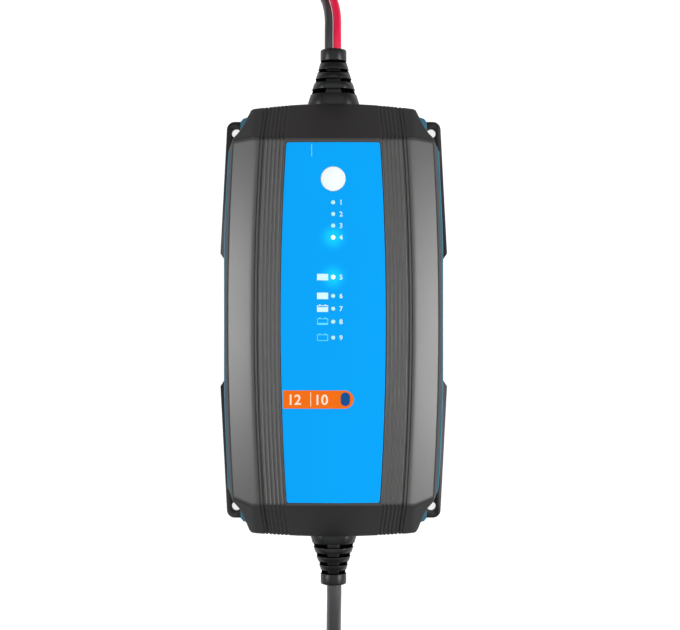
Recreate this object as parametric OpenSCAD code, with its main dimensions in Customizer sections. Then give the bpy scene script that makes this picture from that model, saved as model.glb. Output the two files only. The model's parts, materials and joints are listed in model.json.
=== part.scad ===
// Sealed car battery charger that lies on its back: +Z out of the front face, +Y towards the
// battery lead, +X to the right. The origin is on the floor under the middle of the casing.

/* [Casing] */
// Width of the back shell across its straight sides
shell_w = 96; // [92:0.5:104]
// Length of the casing from end to end, at the middle
case_l = 190; // [184:1:200]
// Height of the casing from its back to the middle of the front
case_h = 60; // [57:0.5:64]
// Height of the back shell
shell_h = 20; // [18:0.5:21]
// Thickness of the back shell's sides
shell_wall = 2.4; // [2:0.1:2.8]
// Thickness of the back shell's floor
floor_t = 3; // [2.5:0.1:3.4]
// Length of each corner cut of the back shell, along Y
corner_l = 13.5; // [11:0.5:15]
// Thickness of the seal between the shell and the cover
seal_t = 1.6; // [1.2:0.1:2]
// How far the seal stands out past the shell
seal_proud = 0.5; // [0.3:0.1:0.8]
// Width of the seal's band
seal_w = 6.4; // [5.6:0.1:7]

/* [Cover] */
// How far the cover is set in from the shell's sides
cover_inset = 0.4; // [0.2:0.1:1]
// How far each side of the cover draws in towards its shoulders
barrel_sag = 2.4; // [1.6:0.1:3]
// Thickness of the cover's wall
cover_wall = 2.4; // [2:0.1:2.8]
// How far each corner of the cover's end edges is set in from its side
end_inset = 11.6; // [10:0.2:13]
// How far each end edge is arched outward
end_arch = 2.5; // [1.5:0.1:3]
// Depth of the foot of the end bevels below the front
bevel_fall = 22; // [20:0.5:23.5]
// Length along Y of the bevel at the battery lead's end
dc_bevel_l = 18; // [16:0.5:20]
// Length along Y of the bevel at the mains lead's end
mains_bevel_l = 16.5; // [15:0.5:19]
// How far the front drops from its middle to the cheeks' inner edge
crown_drop = 2.4; // [1.6:0.1:3]
// Width of each cheek
cheek_w = 10.4; // [9.4:0.2:11.4]
// How far each cheek's outer edge is set in from the cover's side
cheek_inset = 2.7; // [2:0.1:3.4]
// Depth of the cheeks' outer edge below the front
cheek_drop = 7; // [5:0.5:9]
// Depth below the front at which the sides start to lean inward
shoulder_drop = 18; // [14:0.5:20]

/* [Flutes] */
// Number of fine flutes on each side of the label
flute_n = 5; // [3:1:5]
// Spacing of the fine flutes
flute_pitch = 1.7; // [1.4:0.05:1.8]
// Width of a fine flute
flute_w = 0.7; // [0.5:0.05:0.9]
// Depth of every flute
flute_depth = 0.7; // [0.5:0.05:1]
// Width of each of the two border grooves beside a cheek
border_w = 0.8; // [0.5:0.05:0.9]
// Spacing of the two border grooves
border_pitch = 1.5; // [1.3:0.05:1.7]

/* [Label] */
// Distance from the label's long edges to the cheeks
label_side = 12.2; // [12:0.2:13.4]
// Distance from the label's ends to the casing's
label_end = 18.5; // [18:0.5:22]
// How far the label's middle lies towards the mains lead
label_shift = 1; // [0:0.1:1.5]
// Thickness of the label
label_t = 0.5; // [0.3:0.05:0.7]
// Gap round the label in its recess
label_gap = 0.35; // [0.2:0.05:0.5]

/* [Controls] */
// Diameter of the mode button
button_d = 10.6; // [9:0.2:12]
// Travel of the mode button
button_travel = 0.5; // [0.3:0.05:0.6]
// Distance of the mode button from the casing's end
button_inset = 35; // [32:0.5:39]
// Diameter of a lamp's light guide
lamp_d = 1.8; // [1.4:0.1:2.2]
// Distance from the mode button to the first lamp in the mode group
mode_lamp_step = 10; // [9:0.1:10.5]
// Spacing of the four lamps in the mode group
mode_lamp_pitch = 4.95; // [4.6:0.05:5.1]
// Distance from the mode button to the first lamp in the charge group
state_lamp_step = 41.7; // [40:0.1:43]
// Spacing of the five lamps in the charge group
state_lamp_pitch = 6; // [5.4:0.1:6.4]

/* [Mounting] */
// Distance of the mounting holes inside the shell's sides
hole_side = 3; // [2.5:0.25:3.5]
// Distance of the mounting holes from the casing's ends
hole_end = 9; // [8:0.5:10]
// Diameter of the mounting holes
hole_d = 4.2; // [3.6:0.1:4.6]
// Thickness of the mounting ears
ear_t = 3.5; // [2.5:0.1:4.5]
// How far the mounting ears stand out past the shell's sides
ear_reach = 4.3; // [3.8:0.1:5]
// Length of each mounting ear along the casing
ear_l = 64; // [56:1:70]

/* [Screws] */
// Distance of the cover screws inside the shell's sides
case_screw_side = 8.5; // [8:0.25:9]
// Distance of the cover screws from the casing's ends
case_screw_end = 25; // [23:0.5:29]
// Diameter of a screw's shank
screw_d = 2.9; // [2.5:0.1:3.1]
// Diameter of a screw's head
screw_head_d = 5.6; // [5:0.1:6]
// Height of a screw's head
screw_head_h = 2.2; // [1.6:0.1:2.4]
// Outer diameter of a screw post
post_d = 7.4; // [7:0.1:8]
// Radial gap round a screw where it only passes through
screw_gap = 0.35; // [0.3:0.05:0.5]

/* [Boards] */
// Distance of the main board's sides inside the shell's
board_side = 13; // [13:0.25:14]
// Distance of the main board's ends from the casing's
board_end = 11; // [10:0.5:14]
// Thickness of the circuit boards
board_t = 1.6; // [1:0.1:2]
// Height of the posts under the main board
standoff_h = 5; // [4:0.5:7]
// Distance of the main board's screws from its edges
board_screw_inset = 5; // [5:0.25:6]
// Depth of the display board's lower face below the front
display_drop = 11; // [10:0.5:12]
// Width of the display board
display_w = 38; // [34:1:40]

/* [Leads] */
// Height of both leads' exits above the floor
exit_z = 29.5; // [29:0.1:30]
// Diameter of each wire of the battery lead
wire_d = 3.7; // [3:0.1:3.9]
// Spacing of the two wires of the battery lead
wire_pitch = 3.8; // [3.8:0.05:4.2]
// Diameter of the mains lead
mains_d = 6.5; // [5.5:0.1:6.8]
// Length of the battery lead's strain relief outside the casing
dc_relief_l = 24.8; // [24.8:0.1:25]
// Width of the battery lead's strain relief at the casing
dc_relief_w = 23.2; // [21:0.2:25]
// Length of the mains lead's strain relief outside the casing
mains_relief_l = 22; // [22:0.1:22.2]
// Width of the mains lead's strain relief at the casing
mains_relief_w = 20.9; // [19:0.1:23]
// Height of both strain reliefs, flattened above and below
relief_h = 15.2; // [14:0.1:15.2]
// Width of both strain reliefs' collars
collar_w = 11.4; // [10:0.1:12]

/* [Battery clamps] */
// Length of a clamp from its pin to its jaws' tips
jaw_l = 38; // [36:1:42]
// Length of a clamp from its pin to the end of its handles
handle_l = 44; // [40:1:46]
// Height of a clamp that lies on its side
clamp_h = 18; // [17:0.5:20]
// Spacing of the handles' ends when the jaws are closed
handle_spread = 34; // [30:1:36]
// Diameter of a clamp's pin
clamp_pin_d = 4; // [3.5:0.1:4.5]
// Distance between the two clamps
clamp_pitch = 50; // [48:1:56]

/* [Mains plug] */
// Diameter of the plug's front
plug_d = 37; // [34:0.5:38]
// Length of the plug's body without its pins
plug_l = 42; // [38:1:46]
// Diameter of a plug pin
pin_d = 4.8; // [4:0.1:5]
// Length of a plug pin
pin_l = 19; // [17:0.5:20]
// Spacing of the plug's two pins
pin_pitch = 19; // [17:0.5:19.5]

/* [Hidden] */

// Colours
black_plastic = "#2b2c2e";
cover_grey = "#5b5a59";
teal_rubber = "#2f86a3";
label_blue = "#00a3f5";
lens_white = "#e8fbff";
steel = "#b9bcc0";
board_green = "#1f6b45";
cable_grey = "#46474a";
wire_red = "#e81f4f";
wire_black = "#2d2d2f";
copper = "#c47a3c";
ferrite = "#3b3b3d";
moulded_black = "#232325";
aluminium = "#a9adb1";

$fn = 64;

// Large enough to reach past the whole casing in any direction
past = 300;
// Overlap that makes a cut run clean through a face
eps = 1;
// Gap between pieces that lie against each other without touching
seat_gap = 0.3;
// Gap between pieces that are bolted or soldered together
bolted_gap = 0.05;

// ---- Casing outline ----
half_shell = shell_w / 2;
half_l = case_l / 2;
cover_w = shell_w - 2 * cover_inset;
end_w = cover_w - 2 * end_inset;
cheek_out_w = cover_w - 2 * cheek_inset;
cheek_in_w = cheek_out_w - 2 * cheek_w;
cheek_h = case_h - cheek_drop;
shoulder_h = case_h - shoulder_drop;
hole_x = shell_w - 2 * hole_side;
hole_y = case_l - 2 * hole_end;
seam_z = shell_h + seal_t;
// The shell's ends stand a little inside the cover's
shell_end = half_l - 1.5;
// Point where the cover's straight shoulders begin, from the middle of the casing
shoulder_x = cover_w / 2 - barrel_sag;
shoulder_y = half_l - 19;
waist_x = shoulder_x - 5.2;
waist_y = shoulder_y + 6.2;
shoulder_slope = (waist_y - shoulder_y) / (shoulder_x - waist_x);
// Clear of the cover's sides
clear_x = cover_w / 2 + 6;

// Sides of the cover are arcs of this radius
side_r = (pow(shoulder_y, 2) + pow(barrel_sag, 2)) / (2 * barrel_sag);
// Distance of the arcs' centre line from the middle of the casing
arc_x = side_r - cover_w / 2;
// Angle that the arcs need to run past both ends
arc_angle = 2 * asin((half_l + 12) / arc_x);

function crown(x) = case_h - crown_drop * pow(x / (cheek_in_w / 2), 2);

crown_steps = 6;
half_cheek_in = cheek_in_w / 2;
half_cheek_out = cheek_out_w / 2;

// Half section of the cover, drawn in by d all round, with its open side at height low
function cover_section(d, low) = [
  [0, low],
  [cover_w / 2 - d, low],
  [cover_w / 2 - d, shoulder_h],
  [half_cheek_out - 0.9 * d, cheek_h - 0.6 * d],
  for (i = [crown_steps : -1 : 0])
    let (x = (half_cheek_in - 0.2 * d) * i / crown_steps) [x, crown(x) - d]
];

// Half of the cover's plan, drawn in by d, for the end at positive Y
function end_plan(d) = [
  [clear_x, waist_y - 0.6 * d - (clear_x - waist_x) * shoulder_slope],
  [waist_x - d, waist_y - 0.6 * d],
  for (i = [4 : -1 : 0])
    let (x = (end_w / 2 - 0.8 * d) * i / 4) [x, half_l - d - end_arch * pow(x / (end_w / 2), 2)]
];

// Sweeps a half section along the right side's arcs
module along_arcs(section) {
  translate([-arc_x, 0, 0])
    rotate([0, 0, -arc_angle / 2])
      rotate_extrude(angle = arc_angle, $fn = 720)
        translate([arc_x, 0])
          polygon(section);
}

// Makes both halves from one on the right
module both_sides() {
  intersection() {
    children();
    translate([0, -past, -past]) cube([past, 2 * past, 2 * past]);
  }
  mirror([1, 0, 0])
    intersection() {
      children();
      translate([0, -past, -past]) cube([past, 2 * past, 2 * past]);
    }
}

// Everything under one end bevel, drawn in by d: the front's crown pushed down along the slope
module under_bevel(run, corner_drop, d) {
  slope = atan(bevel_fall / run);
  half = [
    for (i = [0 : crown_steps])
      let (x = half_cheek_in * i / crown_steps) [x, (crown(x) - case_h) * cos(slope) - d],
    [half_cheek_out, (cheek_h - corner_drop - case_h) * cos(slope) - d],
    [past, (cheek_h - corner_drop - case_h - 2 * (past - half_cheek_out)) * cos(slope) - d]
  ];
  left = [for (i = [len(half) - 1 : -1 : 1]) [-half[i][0], half[i][1]]];
  translate([0, half_l - run, case_h])
    rotate([-slope, 0, 0])
      rotate([90, 0, 0])
        linear_extrude(height = 2 * past, center = true)
          polygon(concat(left, half, [[past, -3 * past], [-past, -3 * past]]));
}

// Greatest drop of the bevels' upper edges towards the cheeks' corners
dc_corner_drop = 1.8;
mains_corner_drop = 5;

// ---- Back shell ----
shell_shoulder_y = shell_end - 18;
// The shell's neck passes beside the mounting holes
neck_x = hole_x / 2 - hole_d / 2 - 1.9;
neck_foot_y = shell_end - corner_l + 3.5;
neck_top_y = shell_end - 3.5;
neck_cut = 2.5;
// Distance from a mounting hole's middle to the ear's edges
ear_margin_x = 4.3;
ear_margin_y = 5.3;
ear_r = 3.6;
// The ear's inner end is cut off at a slant
ear_slant_x = 2.1;
ear_slant_y = 3.3;
ears_w = shell_w + 2 * ear_reach;
panel_w = 62;
panel_l = 120;
panel_depth = 0.4;

// ---- Label and flutes ----
label_w = cheek_in_w - 2 * label_side;
label_l = case_l - 2 * label_end;
flute_first_x = label_w / 2 + label_gap + 1;
flute_foot = case_h - 29;
border_inset = 0.6;

// ---- Screws ----
pilot_fit = 0.1;
head_seat = screw_head_h + 0.4;
case_screw_x = shell_w - 2 * case_screw_side;
case_screw_y = case_l - 2 * case_screw_end;
case_screw_tip = seam_z + 14.4;
pilot_top = case_screw_tip + 1.5;
board_w = shell_w - 2 * board_side;
board_l = case_l - 2 * board_end;
board_screw_x = board_w - 2 * board_screw_inset;
board_screw_y = board_l - 2 * board_screw_inset;
board_z = floor_t + standoff_h;
board_top = board_z + board_t;
board_screw_tip = floor_t + 0.6;

// ---- Controls ----
button_y = half_l - button_inset;
mode_lamp_y = button_y - mode_lamp_step;
state_lamp_y = button_y - state_lamp_step;
display_z = case_h - display_drop;
display_top = display_z + board_t;
display_l = 80;
display_mid = button_y - 32;
display_post_x = 15;
display_post_y = 37;
display_post_d = 4;
lamp_chip_w = 1.6;
lamp_chip_l = 1.2;
lamp_chip_h = 0.7;
lamp_top = display_top + lamp_chip_h;
lamp_gap = 0.12;
lamp_ys = concat(
  [for (i = [0 : 3]) mode_lamp_y - i * mode_lamp_pitch],
  [for (step = [0, 1.33, 2.23, 3.15, 4.28]) state_lamp_y - step * state_lamp_pitch]
);
button_gap = 0.3;
switch_h = 3.4;
plunger_d = 3.2;
plunger_top = display_top + switch_h + 1;
switch_w = 6;
switch_floor = 0.6;
plunger_foot = display_top + switch_floor + button_travel + seat_gap;
stem_d = 4;
flange_h = 0.9;
flange_d = button_d + 3;
flange_top = case_h - cover_wall - 2 * seat_gap;
// Overlap that joins two solids of one piece
join = 0.1;

// ---- Lead exits ----
neck_d = 11;
neck_flange_d = 14;
neck_cut_l = 12;
toroid_lift = 1.6;
tie_t = 0.8;
tie_w = 6;
knuckle_t = 3;
pin_fit = 0.05;

// Goes round all four quarters from the points of the quarter at positive X and Y
function quadrants(q) = concat(
  q,
  [for (i = [len(q) - 2 : -1 : 0]) [-q[i][0], q[i][1]]],
  [for (i = [0 : len(q) - 1]) [-q[i][0], -q[i][1]]],
  [for (i = [len(q) - 2 : -1 : 0]) [q[i][0], -q[i][1]]]
);

// Solid inside the cover's outer surface, drawn in by d, from height low upward
module cover_form(d, low) {
  intersection() {
    both_sides() along_arcs(cover_section(d, low));
    translate([0, 0, low])
      linear_extrude(height = case_h)
        polygon(quadrants(end_plan(d)));
    under_bevel(dc_bevel_l, dc_corner_drop, d);
    mirror([0, 1, 0]) under_bevel(mains_bevel_l, mains_corner_drop, d);
  }
}

// Places a child at the four corners of a rectangle
module four_corners(dx, dy) {
  for (sx = [-1, 1])
    for (sy = [-1, 1])
      translate([sx * dx / 2, sy * dy / 2, 0])
        children();
}

// Repeats a child in each quarter by mirroring
module four_mirrors() {
  for (mx = [0, 1])
    for (my = [0, 1])
      mirror([mx, 0, 0])
        mirror([0, my, 0])
          children();
}

// ---- Casing pieces ----
// Quarter outline of the back shell, grown by g
function shell_quarter(g) = [
  [half_shell + g, shell_shoulder_y],
  [neck_x + g, neck_foot_y],
  [neck_x + g, neck_top_y + g],
  [neck_x - neck_cut + g, shell_end + g],
  [0, shell_end + g]
];

// Outline of the ear at positive X and Y
ear_top = hole_y / 2 + ear_margin_y;
ear_foot = ear_top - ear_l;
ear_corner_x = hole_x / 2 + ear_margin_x - ear_r;
ear_points = concat(
  [
    [neck_x - 1, ear_foot],
    [half_shell + ear_slant_x, ear_foot],
    [ears_w / 2, ear_foot + ear_slant_y]
  ],
  [for (a = [6 : 12 : 90]) [ear_corner_x + ear_r * cos(a), ear_top - ear_r + ear_r * sin(a)]],
  [[neck_x - 1, ear_top]]
);

module back_shell() {
  color(black_plastic)
    difference() {
      union() {
        difference() {
          union() {
            linear_extrude(height = shell_h) polygon(quadrants(shell_quarter(0)));
            four_mirrors() linear_extrude(height = ear_t) polygon(ear_points);
          }
          translate([0, 0, floor_t])
            linear_extrude(height = past) polygon(quadrants(shell_quarter(-shell_wall)));
        }
        four_corners(case_screw_x, case_screw_y) cylinder(d = post_d, h = shell_h);
        four_corners(board_screw_x, board_screw_y) cylinder(d = post_d, h = floor_t + standoff_h);
      }
      four_corners(hole_x, hole_y)
        translate([0, 0, -eps]) cylinder(d = hole_d, h = ear_t + 2 * eps);
      four_corners(case_screw_x, case_screw_y) {
        translate([0, 0, -eps]) cylinder(d = screw_d + 2 * screw_gap, h = shell_h + 2 * eps);
        translate([0, 0, -eps]) cylinder(d = screw_head_d + 2 * screw_gap, h = head_seat + eps);
      }
      four_corners(board_screw_x, board_screw_y)
        translate([0, 0, board_screw_tip - eps]) cylinder(d = screw_d + pilot_fit, h = past);
      // Shallow panel on the back
      translate([-panel_w / 2, -panel_l / 2, -eps]) cube([panel_w, panel_l, panel_depth + eps]);
    }
}

module seal_ring() {
  color(teal_rubber)
    translate([0, 0, shell_h])
      linear_extrude(height = seal_t)
        difference() {
          polygon(quadrants(shell_quarter(seal_proud)));
          polygon(quadrants(shell_quarter(seal_proud - seal_w)));
        }
}

// Distance from the middle and width of each flute and border groove of one side
function flute_lines() = concat(
  [for (i = [0 : flute_n - 1]) [flute_first_x + i * flute_pitch, flute_w]],
  [for (i = [0, 1]) [half_cheek_in - border_inset - i * border_pitch, border_w]]
);

module flute_cuts() {
  difference() {
    both_sides()
      for (line = flute_lines())
        along_arcs([
          [line[0] - line[1] / 2, flute_foot],
          [line[0] + line[1] / 2, flute_foot],
          [line[0] + line[1] / 2, case_h + eps],
          [line[0] - line[1] / 2, case_h + eps]
        ]);
    cover_form(flute_depth, seam_z - eps);
  }
}

// Curved sheet under the label, from its lower face up by height, grown by g at its edges
module label_form(g, height) {
  reach = label_w / 2 + g;
  steps = 4;
  intersection() {
    both_sides()
      along_arcs(concat(
        [for (i = [0 : steps]) let (x = reach * i / steps) [x, crown(x) - label_t]],
        [for (i = [steps : -1 : 0]) let (x = reach * i / steps) [x, crown(x) - label_t + height]]
      ));
    translate([-past, -label_l / 2 - label_shift - g, 0])
      cube([2 * past, label_l + 2 * g, 2 * case_h]);
  }
}

module lamp_holes(d) {
  for (y = lamp_ys)
    translate([0, y, case_h - 2 * cover_wall]) cylinder(d = d, h = 2 * cover_wall + eps);
}

module top_cover() {
  color(cover_grey)
    difference() {
      union() {
        difference() {
          cover_form(0, seam_z);
          cover_form(cover_wall, seam_z - eps);
        }
        intersection() {
          union() {
            four_corners(case_screw_x, case_screw_y) translate([0, 0, seam_z]) cylinder(d = post_d, h = case_h);
            for (sx = [-1, 1])
              for (y = [display_mid - display_post_y, display_mid + display_post_y])
                translate([sx * display_post_x, y, display_top]) cylinder(d = display_post_d, h = case_h);
          }
          cover_form(cover_wall / 2, seam_z);
        }
      }
      flute_cuts();
      label_form(label_gap, case_h);
      four_corners(case_screw_x, case_screw_y)
        translate([0, 0, seam_z - eps]) cylinder(d = screw_d + pilot_fit, h = pilot_top - seam_z + eps);
      translate([0, button_y, case_h - 2 * cover_wall])
        cylinder(d = button_d + 2 * button_gap, h = 2 * cover_wall + eps);
      lamp_holes(lamp_d + 2 * lamp_gap);
      for (sy = [-1, 1])
        translate([0, sy * half_l, exit_z])
          rotate([90, 0, 0]) cylinder(d = neck_d + 2 * lamp_gap, h = neck_cut_l, center = true);
    }
}

module front_label() {
  color(label_blue)
    difference() {
      label_form(0, label_t);
      translate([0, button_y, case_h - 2 * cover_wall])
        cylinder(d = button_d + 2 * button_gap, h = 2 * cover_wall + eps);
      lamp_holes(lamp_d + 2 * lamp_gap);
    }
}

module screw(length) {
  translate([0, 0, -screw_head_h]) cylinder(d = screw_head_d, h = screw_head_h);
  cylinder(d = screw_d, h = length);
}

module cover_screws() {
  color(steel)
    four_corners(case_screw_x, case_screw_y)
      translate([0, 0, head_seat]) screw(case_screw_tip - head_seat);
}

// The button's flange lies under the cover and keeps it from falling out
module mode_button() {
  color("white")
    translate([0, button_y, 0]) {
      translate([0, 0, flange_top - join]) cylinder(d = button_d, h = case_h - flange_top + join);
      translate([0, 0, flange_top - flange_h]) cylinder(d = flange_d, h = flange_h);
      translate([0, 0, plunger_top]) cylinder(d = stem_d, h = flange_top - flange_h - plunger_top + join);
    }
}

module light_guides() {
  color(lens_white)
    for (y = lamp_ys)
      translate([0, y, lamp_top + seat_gap]) cylinder(d = lamp_d, h = case_h - lamp_top - seat_gap);
}

// ---- Display board ----
module display_board() {
  color(board_green)
    translate([-display_w / 2, display_mid - display_l / 2, display_z])
      cube([display_w, display_l, board_t]);
}

module status_lamps() {
  color("#f4f1d8")
    for (y = lamp_ys)
      translate([-lamp_chip_w / 2, y - lamp_chip_l / 2, display_top])
        cube([lamp_chip_w, lamp_chip_l, lamp_chip_h]);
}

module switch_body() {
  color(moulded_black)
    translate([0, button_y, display_top])
      difference() {
        translate([-switch_w / 2, -switch_w / 2, 0]) cube([switch_w, switch_w, switch_h]);
        translate([0, 0, switch_floor]) cylinder(d = plunger_d + 2 * seat_gap, h = switch_h);
      }
}

module switch_plunger() {
  color("#c9c2b4")
    translate([0, button_y, plunger_foot]) cylinder(d = plunger_d, h = plunger_top - plunger_foot);
}

cable_w = 12;
cable_t = 0.6;
cable_inset = 8;

module display_cable() {
  color("#d8d8d4")
    translate([-cable_w / 2, display_mid + display_l / 2 - cable_inset, board_top])
      cube([cable_w, cable_t, display_z - board_top]);
}

// ---- Main board ----
module main_board() {
  color(board_green)
    difference() {
      translate([-board_w / 2, -board_l / 2, board_z]) cube([board_w, board_l, board_t]);
      four_corners(board_screw_x, board_screw_y)
        translate([0, 0, board_z - eps]) cylinder(d = screw_d + 2 * screw_gap, h = board_t + 2 * eps);
    }
}

module board_screws() {
  color(steel)
    four_corners(board_screw_x, board_screw_y)
      translate([0, 0, board_top]) mirror([0, 0, 1]) screw(board_top - board_screw_tip);
}

// A block that stands on the main board, by its middle
module on_board(at, size) {
  translate([at[0] - size[0] / 2, at[1] - size[1] / 2, board_top]) cube(size);
}

// Places on the main board, as shares of its width and length from its middle
function place(share_x, share_y) = [share_x * board_w, share_y * board_l];

// Heat sinks: plates on edge, with components bolted to one side
sink_t = 2.5;
sink_h = 28;
primary_sink_at = place(0.45, -0.143);
primary_sink_l = 56;
output_sink_at = place(-0.47, 0.202);
output_sink_l = 52;
fin_t = 2;
fin_l = 3.4;
fin_pitch = 12;
bolted_t = 4.6;

// Middle of a bolted component beside the sink at x, on the given side
function beside_sink(x, side) = x + side * ((sink_t + bolted_t) / 2 + bolted_gap);

fuse_at = place(-0.286, -0.393);
fuse_d = 5.2;
fuse_l = 20;
fuse_cap_d = 6;
fuse_cap_l = 4.5;
fuse_z = board_top + fuse_cap_d / 2;

module fuse_barrel(d, l) {
  translate([fuse_at[0], fuse_at[1], fuse_z])
    rotate([0, 90, 0])
      cylinder(d = d, h = l, center = true);
}

module mains_fuse() {
  color("#cfd8d6") fuse_barrel(fuse_d, fuse_l);
  color(steel)
    for (sx = [-1, 1])
      translate([sx * (fuse_l - fuse_cap_l) / 2, 0, 0]) {
        fuse_barrel(fuse_cap_d, fuse_cap_l);
        on_board(fuse_at, [fuse_cap_l, fuse_d, fuse_cap_d / 3]);
      }
}

// Toroids stand on their windings: the core's inner diameter is this share of its outer one
toroid_bore = 0.55;
winding_t = 1.6;
winding_angle = 120;

module toroid_core(at, d, h) {
  color("#4f6a52")
    translate([at[0], at[1], board_top + toroid_lift])
      difference() {
        cylinder(d = d, h = h);
        translate([0, 0, -eps]) cylinder(d = toroid_bore * d, h = h + 2 * eps);
      }
}

// Winding of a toroid: blocks of wire round two sides of the core
module toroid_winding(at, d, h) {
  inner_r = toroid_bore * d / 2;
  depth = d / 2 - inner_r;
  color(copper)
    translate([at[0], at[1], board_top])
      for (side = [0, 180])
        rotate([0, 0, side - winding_angle / 2])
          rotate_extrude(angle = winding_angle)
            difference() {
              translate([inner_r - winding_t, 0]) square([depth + 2 * winding_t, h + 2 * toroid_lift]);
              translate([inner_r - bolted_gap, toroid_lift - bolted_gap])
                square([depth + 2 * bolted_gap, h + 2 * bolted_gap]);
            }
}

line_choke_at = place(0.229, -0.351);
line_choke_d = 17;
line_choke_h = 9;

module line_choke_core() { toroid_core(line_choke_at, line_choke_d, line_choke_h); }
module line_choke_winding() { toroid_winding(line_choke_at, line_choke_d, line_choke_h); }

filter_size = [18, 8, 15];
bridge_size = [bolted_t, 20, 17];
transistor_size = [bolted_t, 15, 18];
primary_bolted_x = beside_sink(primary_sink_at[0], -1);
output_bolted_x = beside_sink(output_sink_at[0], 1);

module filter_capacitor() { color("#d9b13a") on_board(place(-0.257, -0.315), filter_size); }

module bridge_rectifier() {
  color(moulded_black) on_board([primary_bolted_x, place(0, -0.226)[1]], bridge_size);
}

module switching_transistor() {
  color(moulded_black) on_board([primary_bolted_x, place(0, -0.06)[1]], transistor_size);
}

bulk_at = place(-0.2, -0.179);
bulk_d = 18;
bulk_l = 32;
bulk_lift = 0.2;
cradle_size = [8, 24, 1.5];

// Lies on its side on a low cradle
module bulk_capacitor() {
  color("#24303f") {
    translate([bulk_at[0], bulk_at[1], board_top + bulk_lift + bulk_d / 2])
      rotate([90, 0, 0]) cylinder(d = bulk_d, h = bulk_l, center = true);
    on_board(bulk_at, cradle_size);
  }
}

module primary_heatsink() {
  color(aluminium) {
    on_board(primary_sink_at, [sink_t, primary_sink_l, sink_h]);
    for (i = [-2 : 2])
      on_board(primary_sink_at + [fin_l / 2, i * fin_pitch], [fin_l, fin_t, sink_h]);
  }
}

transformer_at = place(0, 0.048);
core_w = 30;
core_l = 26;
core_h = 27;
core_limb = 4;
window_x = 10.5;
window_z = board_top + 5;
window_h = 17;

module transformer_core() {
  color(ferrite)
    difference() {
      on_board(transformer_at, [core_w, core_l, core_h]);
      for (sx = [-1, 1])
        translate([sx * (window_x + core_limb) / 2, transformer_at[1], window_z + window_h / 2])
          cube([window_x - core_limb, core_l + 2 * eps, window_h], center = true);
    }
}

// Fills the core's windows and stands out at both ends
module transformer_winding() {
  color(copper)
    translate([transformer_at[0], transformer_at[1], window_z + window_h / 2])
      difference() {
        cube([2 * (window_x - seat_gap), core_l + 2 * core_limb, window_h - 2 * seat_gap], center = true);
        cube([2 * (core_limb + seat_gap), core_l + 2 * seat_gap, window_h + eps], center = true);
      }
}

module output_heatsink() {
  color(aluminium) on_board(output_sink_at, [sink_t, output_sink_l, sink_h]);
}

module output_diodes() {
  color(moulded_black)
    for (share = [0.131, 0.25])
      on_board([output_bolted_x, share * board_l], transistor_size);
}

output_choke_at = place(0.2, 0.25);
output_choke_d = 22;
output_choke_h = 10;

module output_choke_core() { toroid_core(output_choke_at, output_choke_d, output_choke_h); }
module output_choke_winding() { toroid_winding(output_choke_at, output_choke_d, output_choke_h); }

output_capacitor_d = 10;
output_capacitor_h = 17;
radio_at = place(0.314, 0.393);
radio_can = [12, 9, 2.2];
radio_base = [17, 12, 0.8];
terminal_size = [16, 8, 11];
terminal_y = board_l / 2 - terminal_size[1];
terminal_pitch = 8;
terminal_hole_d = 3.4;
terminal_floor = 3;

module output_capacitors() {
  color("#2a2f3a")
    for (at = [place(-0.243, 0.202), place(-0.243, 0.28), place(-0.243, 0.357)])
      translate([at[0], at[1], board_top]) cylinder(d = output_capacitor_d, h = output_capacitor_h);
}

module radio_module() {
  color(steel) on_board(radio_at, radio_can);
  color(board_green) on_board(radio_at, radio_base);
}

module lead_terminals() {
  color("#2f5f4a")
    for (sy = [-1, 1])
      difference() {
        on_board([0, sy * terminal_y], terminal_size);
        for (sx = [-1, 1])
          translate([sx * terminal_pitch / 2, sy * terminal_y, board_top + terminal_floor])
            cylinder(d = terminal_hole_d, h = terminal_size[2]);
      }
}

// ---- Strain reliefs ----
relief_ribs = 4;
rib_pitch = 4.45;
rib_t = 2;
// Radius between the ribs as a share of the ribs' own
rib_root = 0.72;
rib_taper = 1.15;
// Middle of the last rib from the collar, in rib spacings
last_rib = 0.28;
collar_l = 5.6;
collar_step = 1.4;
edge_cut = 0.8;
inner_flange_t = 2;

// Radius of the ribs' outer edges at distance h from the casing
function rib_r(h, l, w) =
  let (least = collar_w / 2 + 0.4)
    least + (w / 2 - least) * pow(1 - h / (l - collar_l), rib_taper);

// Outline of a strain relief, from its inner flange to its collar
function relief_outline(l, w) = concat(
  [
    [0, -cover_wall - seat_gap - inner_flange_t],
    [neck_flange_d / 2, -cover_wall - seat_gap - inner_flange_t],
    [neck_flange_d / 2, -cover_wall - seat_gap],
    [neck_d / 2, -cover_wall - seat_gap],
    [neck_d / 2, 0],
    [w / 2, 0],
    [w / 2, edge_cut]
  ],
  [
    for (i = [0 : relief_ribs - 1])
      let (mid = l - collar_l - rib_pitch * (relief_ribs - 1 + last_rib - i))
        for (p = [[-0.5, rib_root], [-0.5, 1], [0.5, 1], [0.5, rib_root]])
          let (h = max(edge_cut + 0.1, mid + p[0] * rib_t)) [rib_r(h, l, w) * p[1], h + 0.01 * p[1]]
  ],
  [
    [collar_w / 2 - collar_step, l - collar_l],
    [collar_w / 2, l - collar_l],
    [collar_w / 2, l - edge_cut],
    [collar_w / 2 - edge_cut, l],
    [0, l]
  ]
);

module relief(l, w) {
  intersection() {
    rotate([-90, 0, 0]) rotate_extrude() polygon(relief_outline(l, w));
    translate([-past, -past, -relief_h / 2]) cube([2 * past, 2 * past, relief_h]);
  }
}

module dc_strain_relief() {
  color(black_plastic) translate([0, half_l, exit_z]) relief(dc_relief_l, dc_relief_w);
}

module mains_strain_relief() {
  color(black_plastic)
    translate([0, -half_l, exit_z]) rotate([0, 0, 180]) relief(mains_relief_l, mains_relief_w);
}

// ---- Swept tubes ----
function unit(v) = v / norm(v);
function heading(path, i) = unit(path[min(i + 1, len(path) - 1)] - path[max(i - 1, 0)]);
function across(t) = unit(cross(t, [0, 0, 1]));

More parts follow.
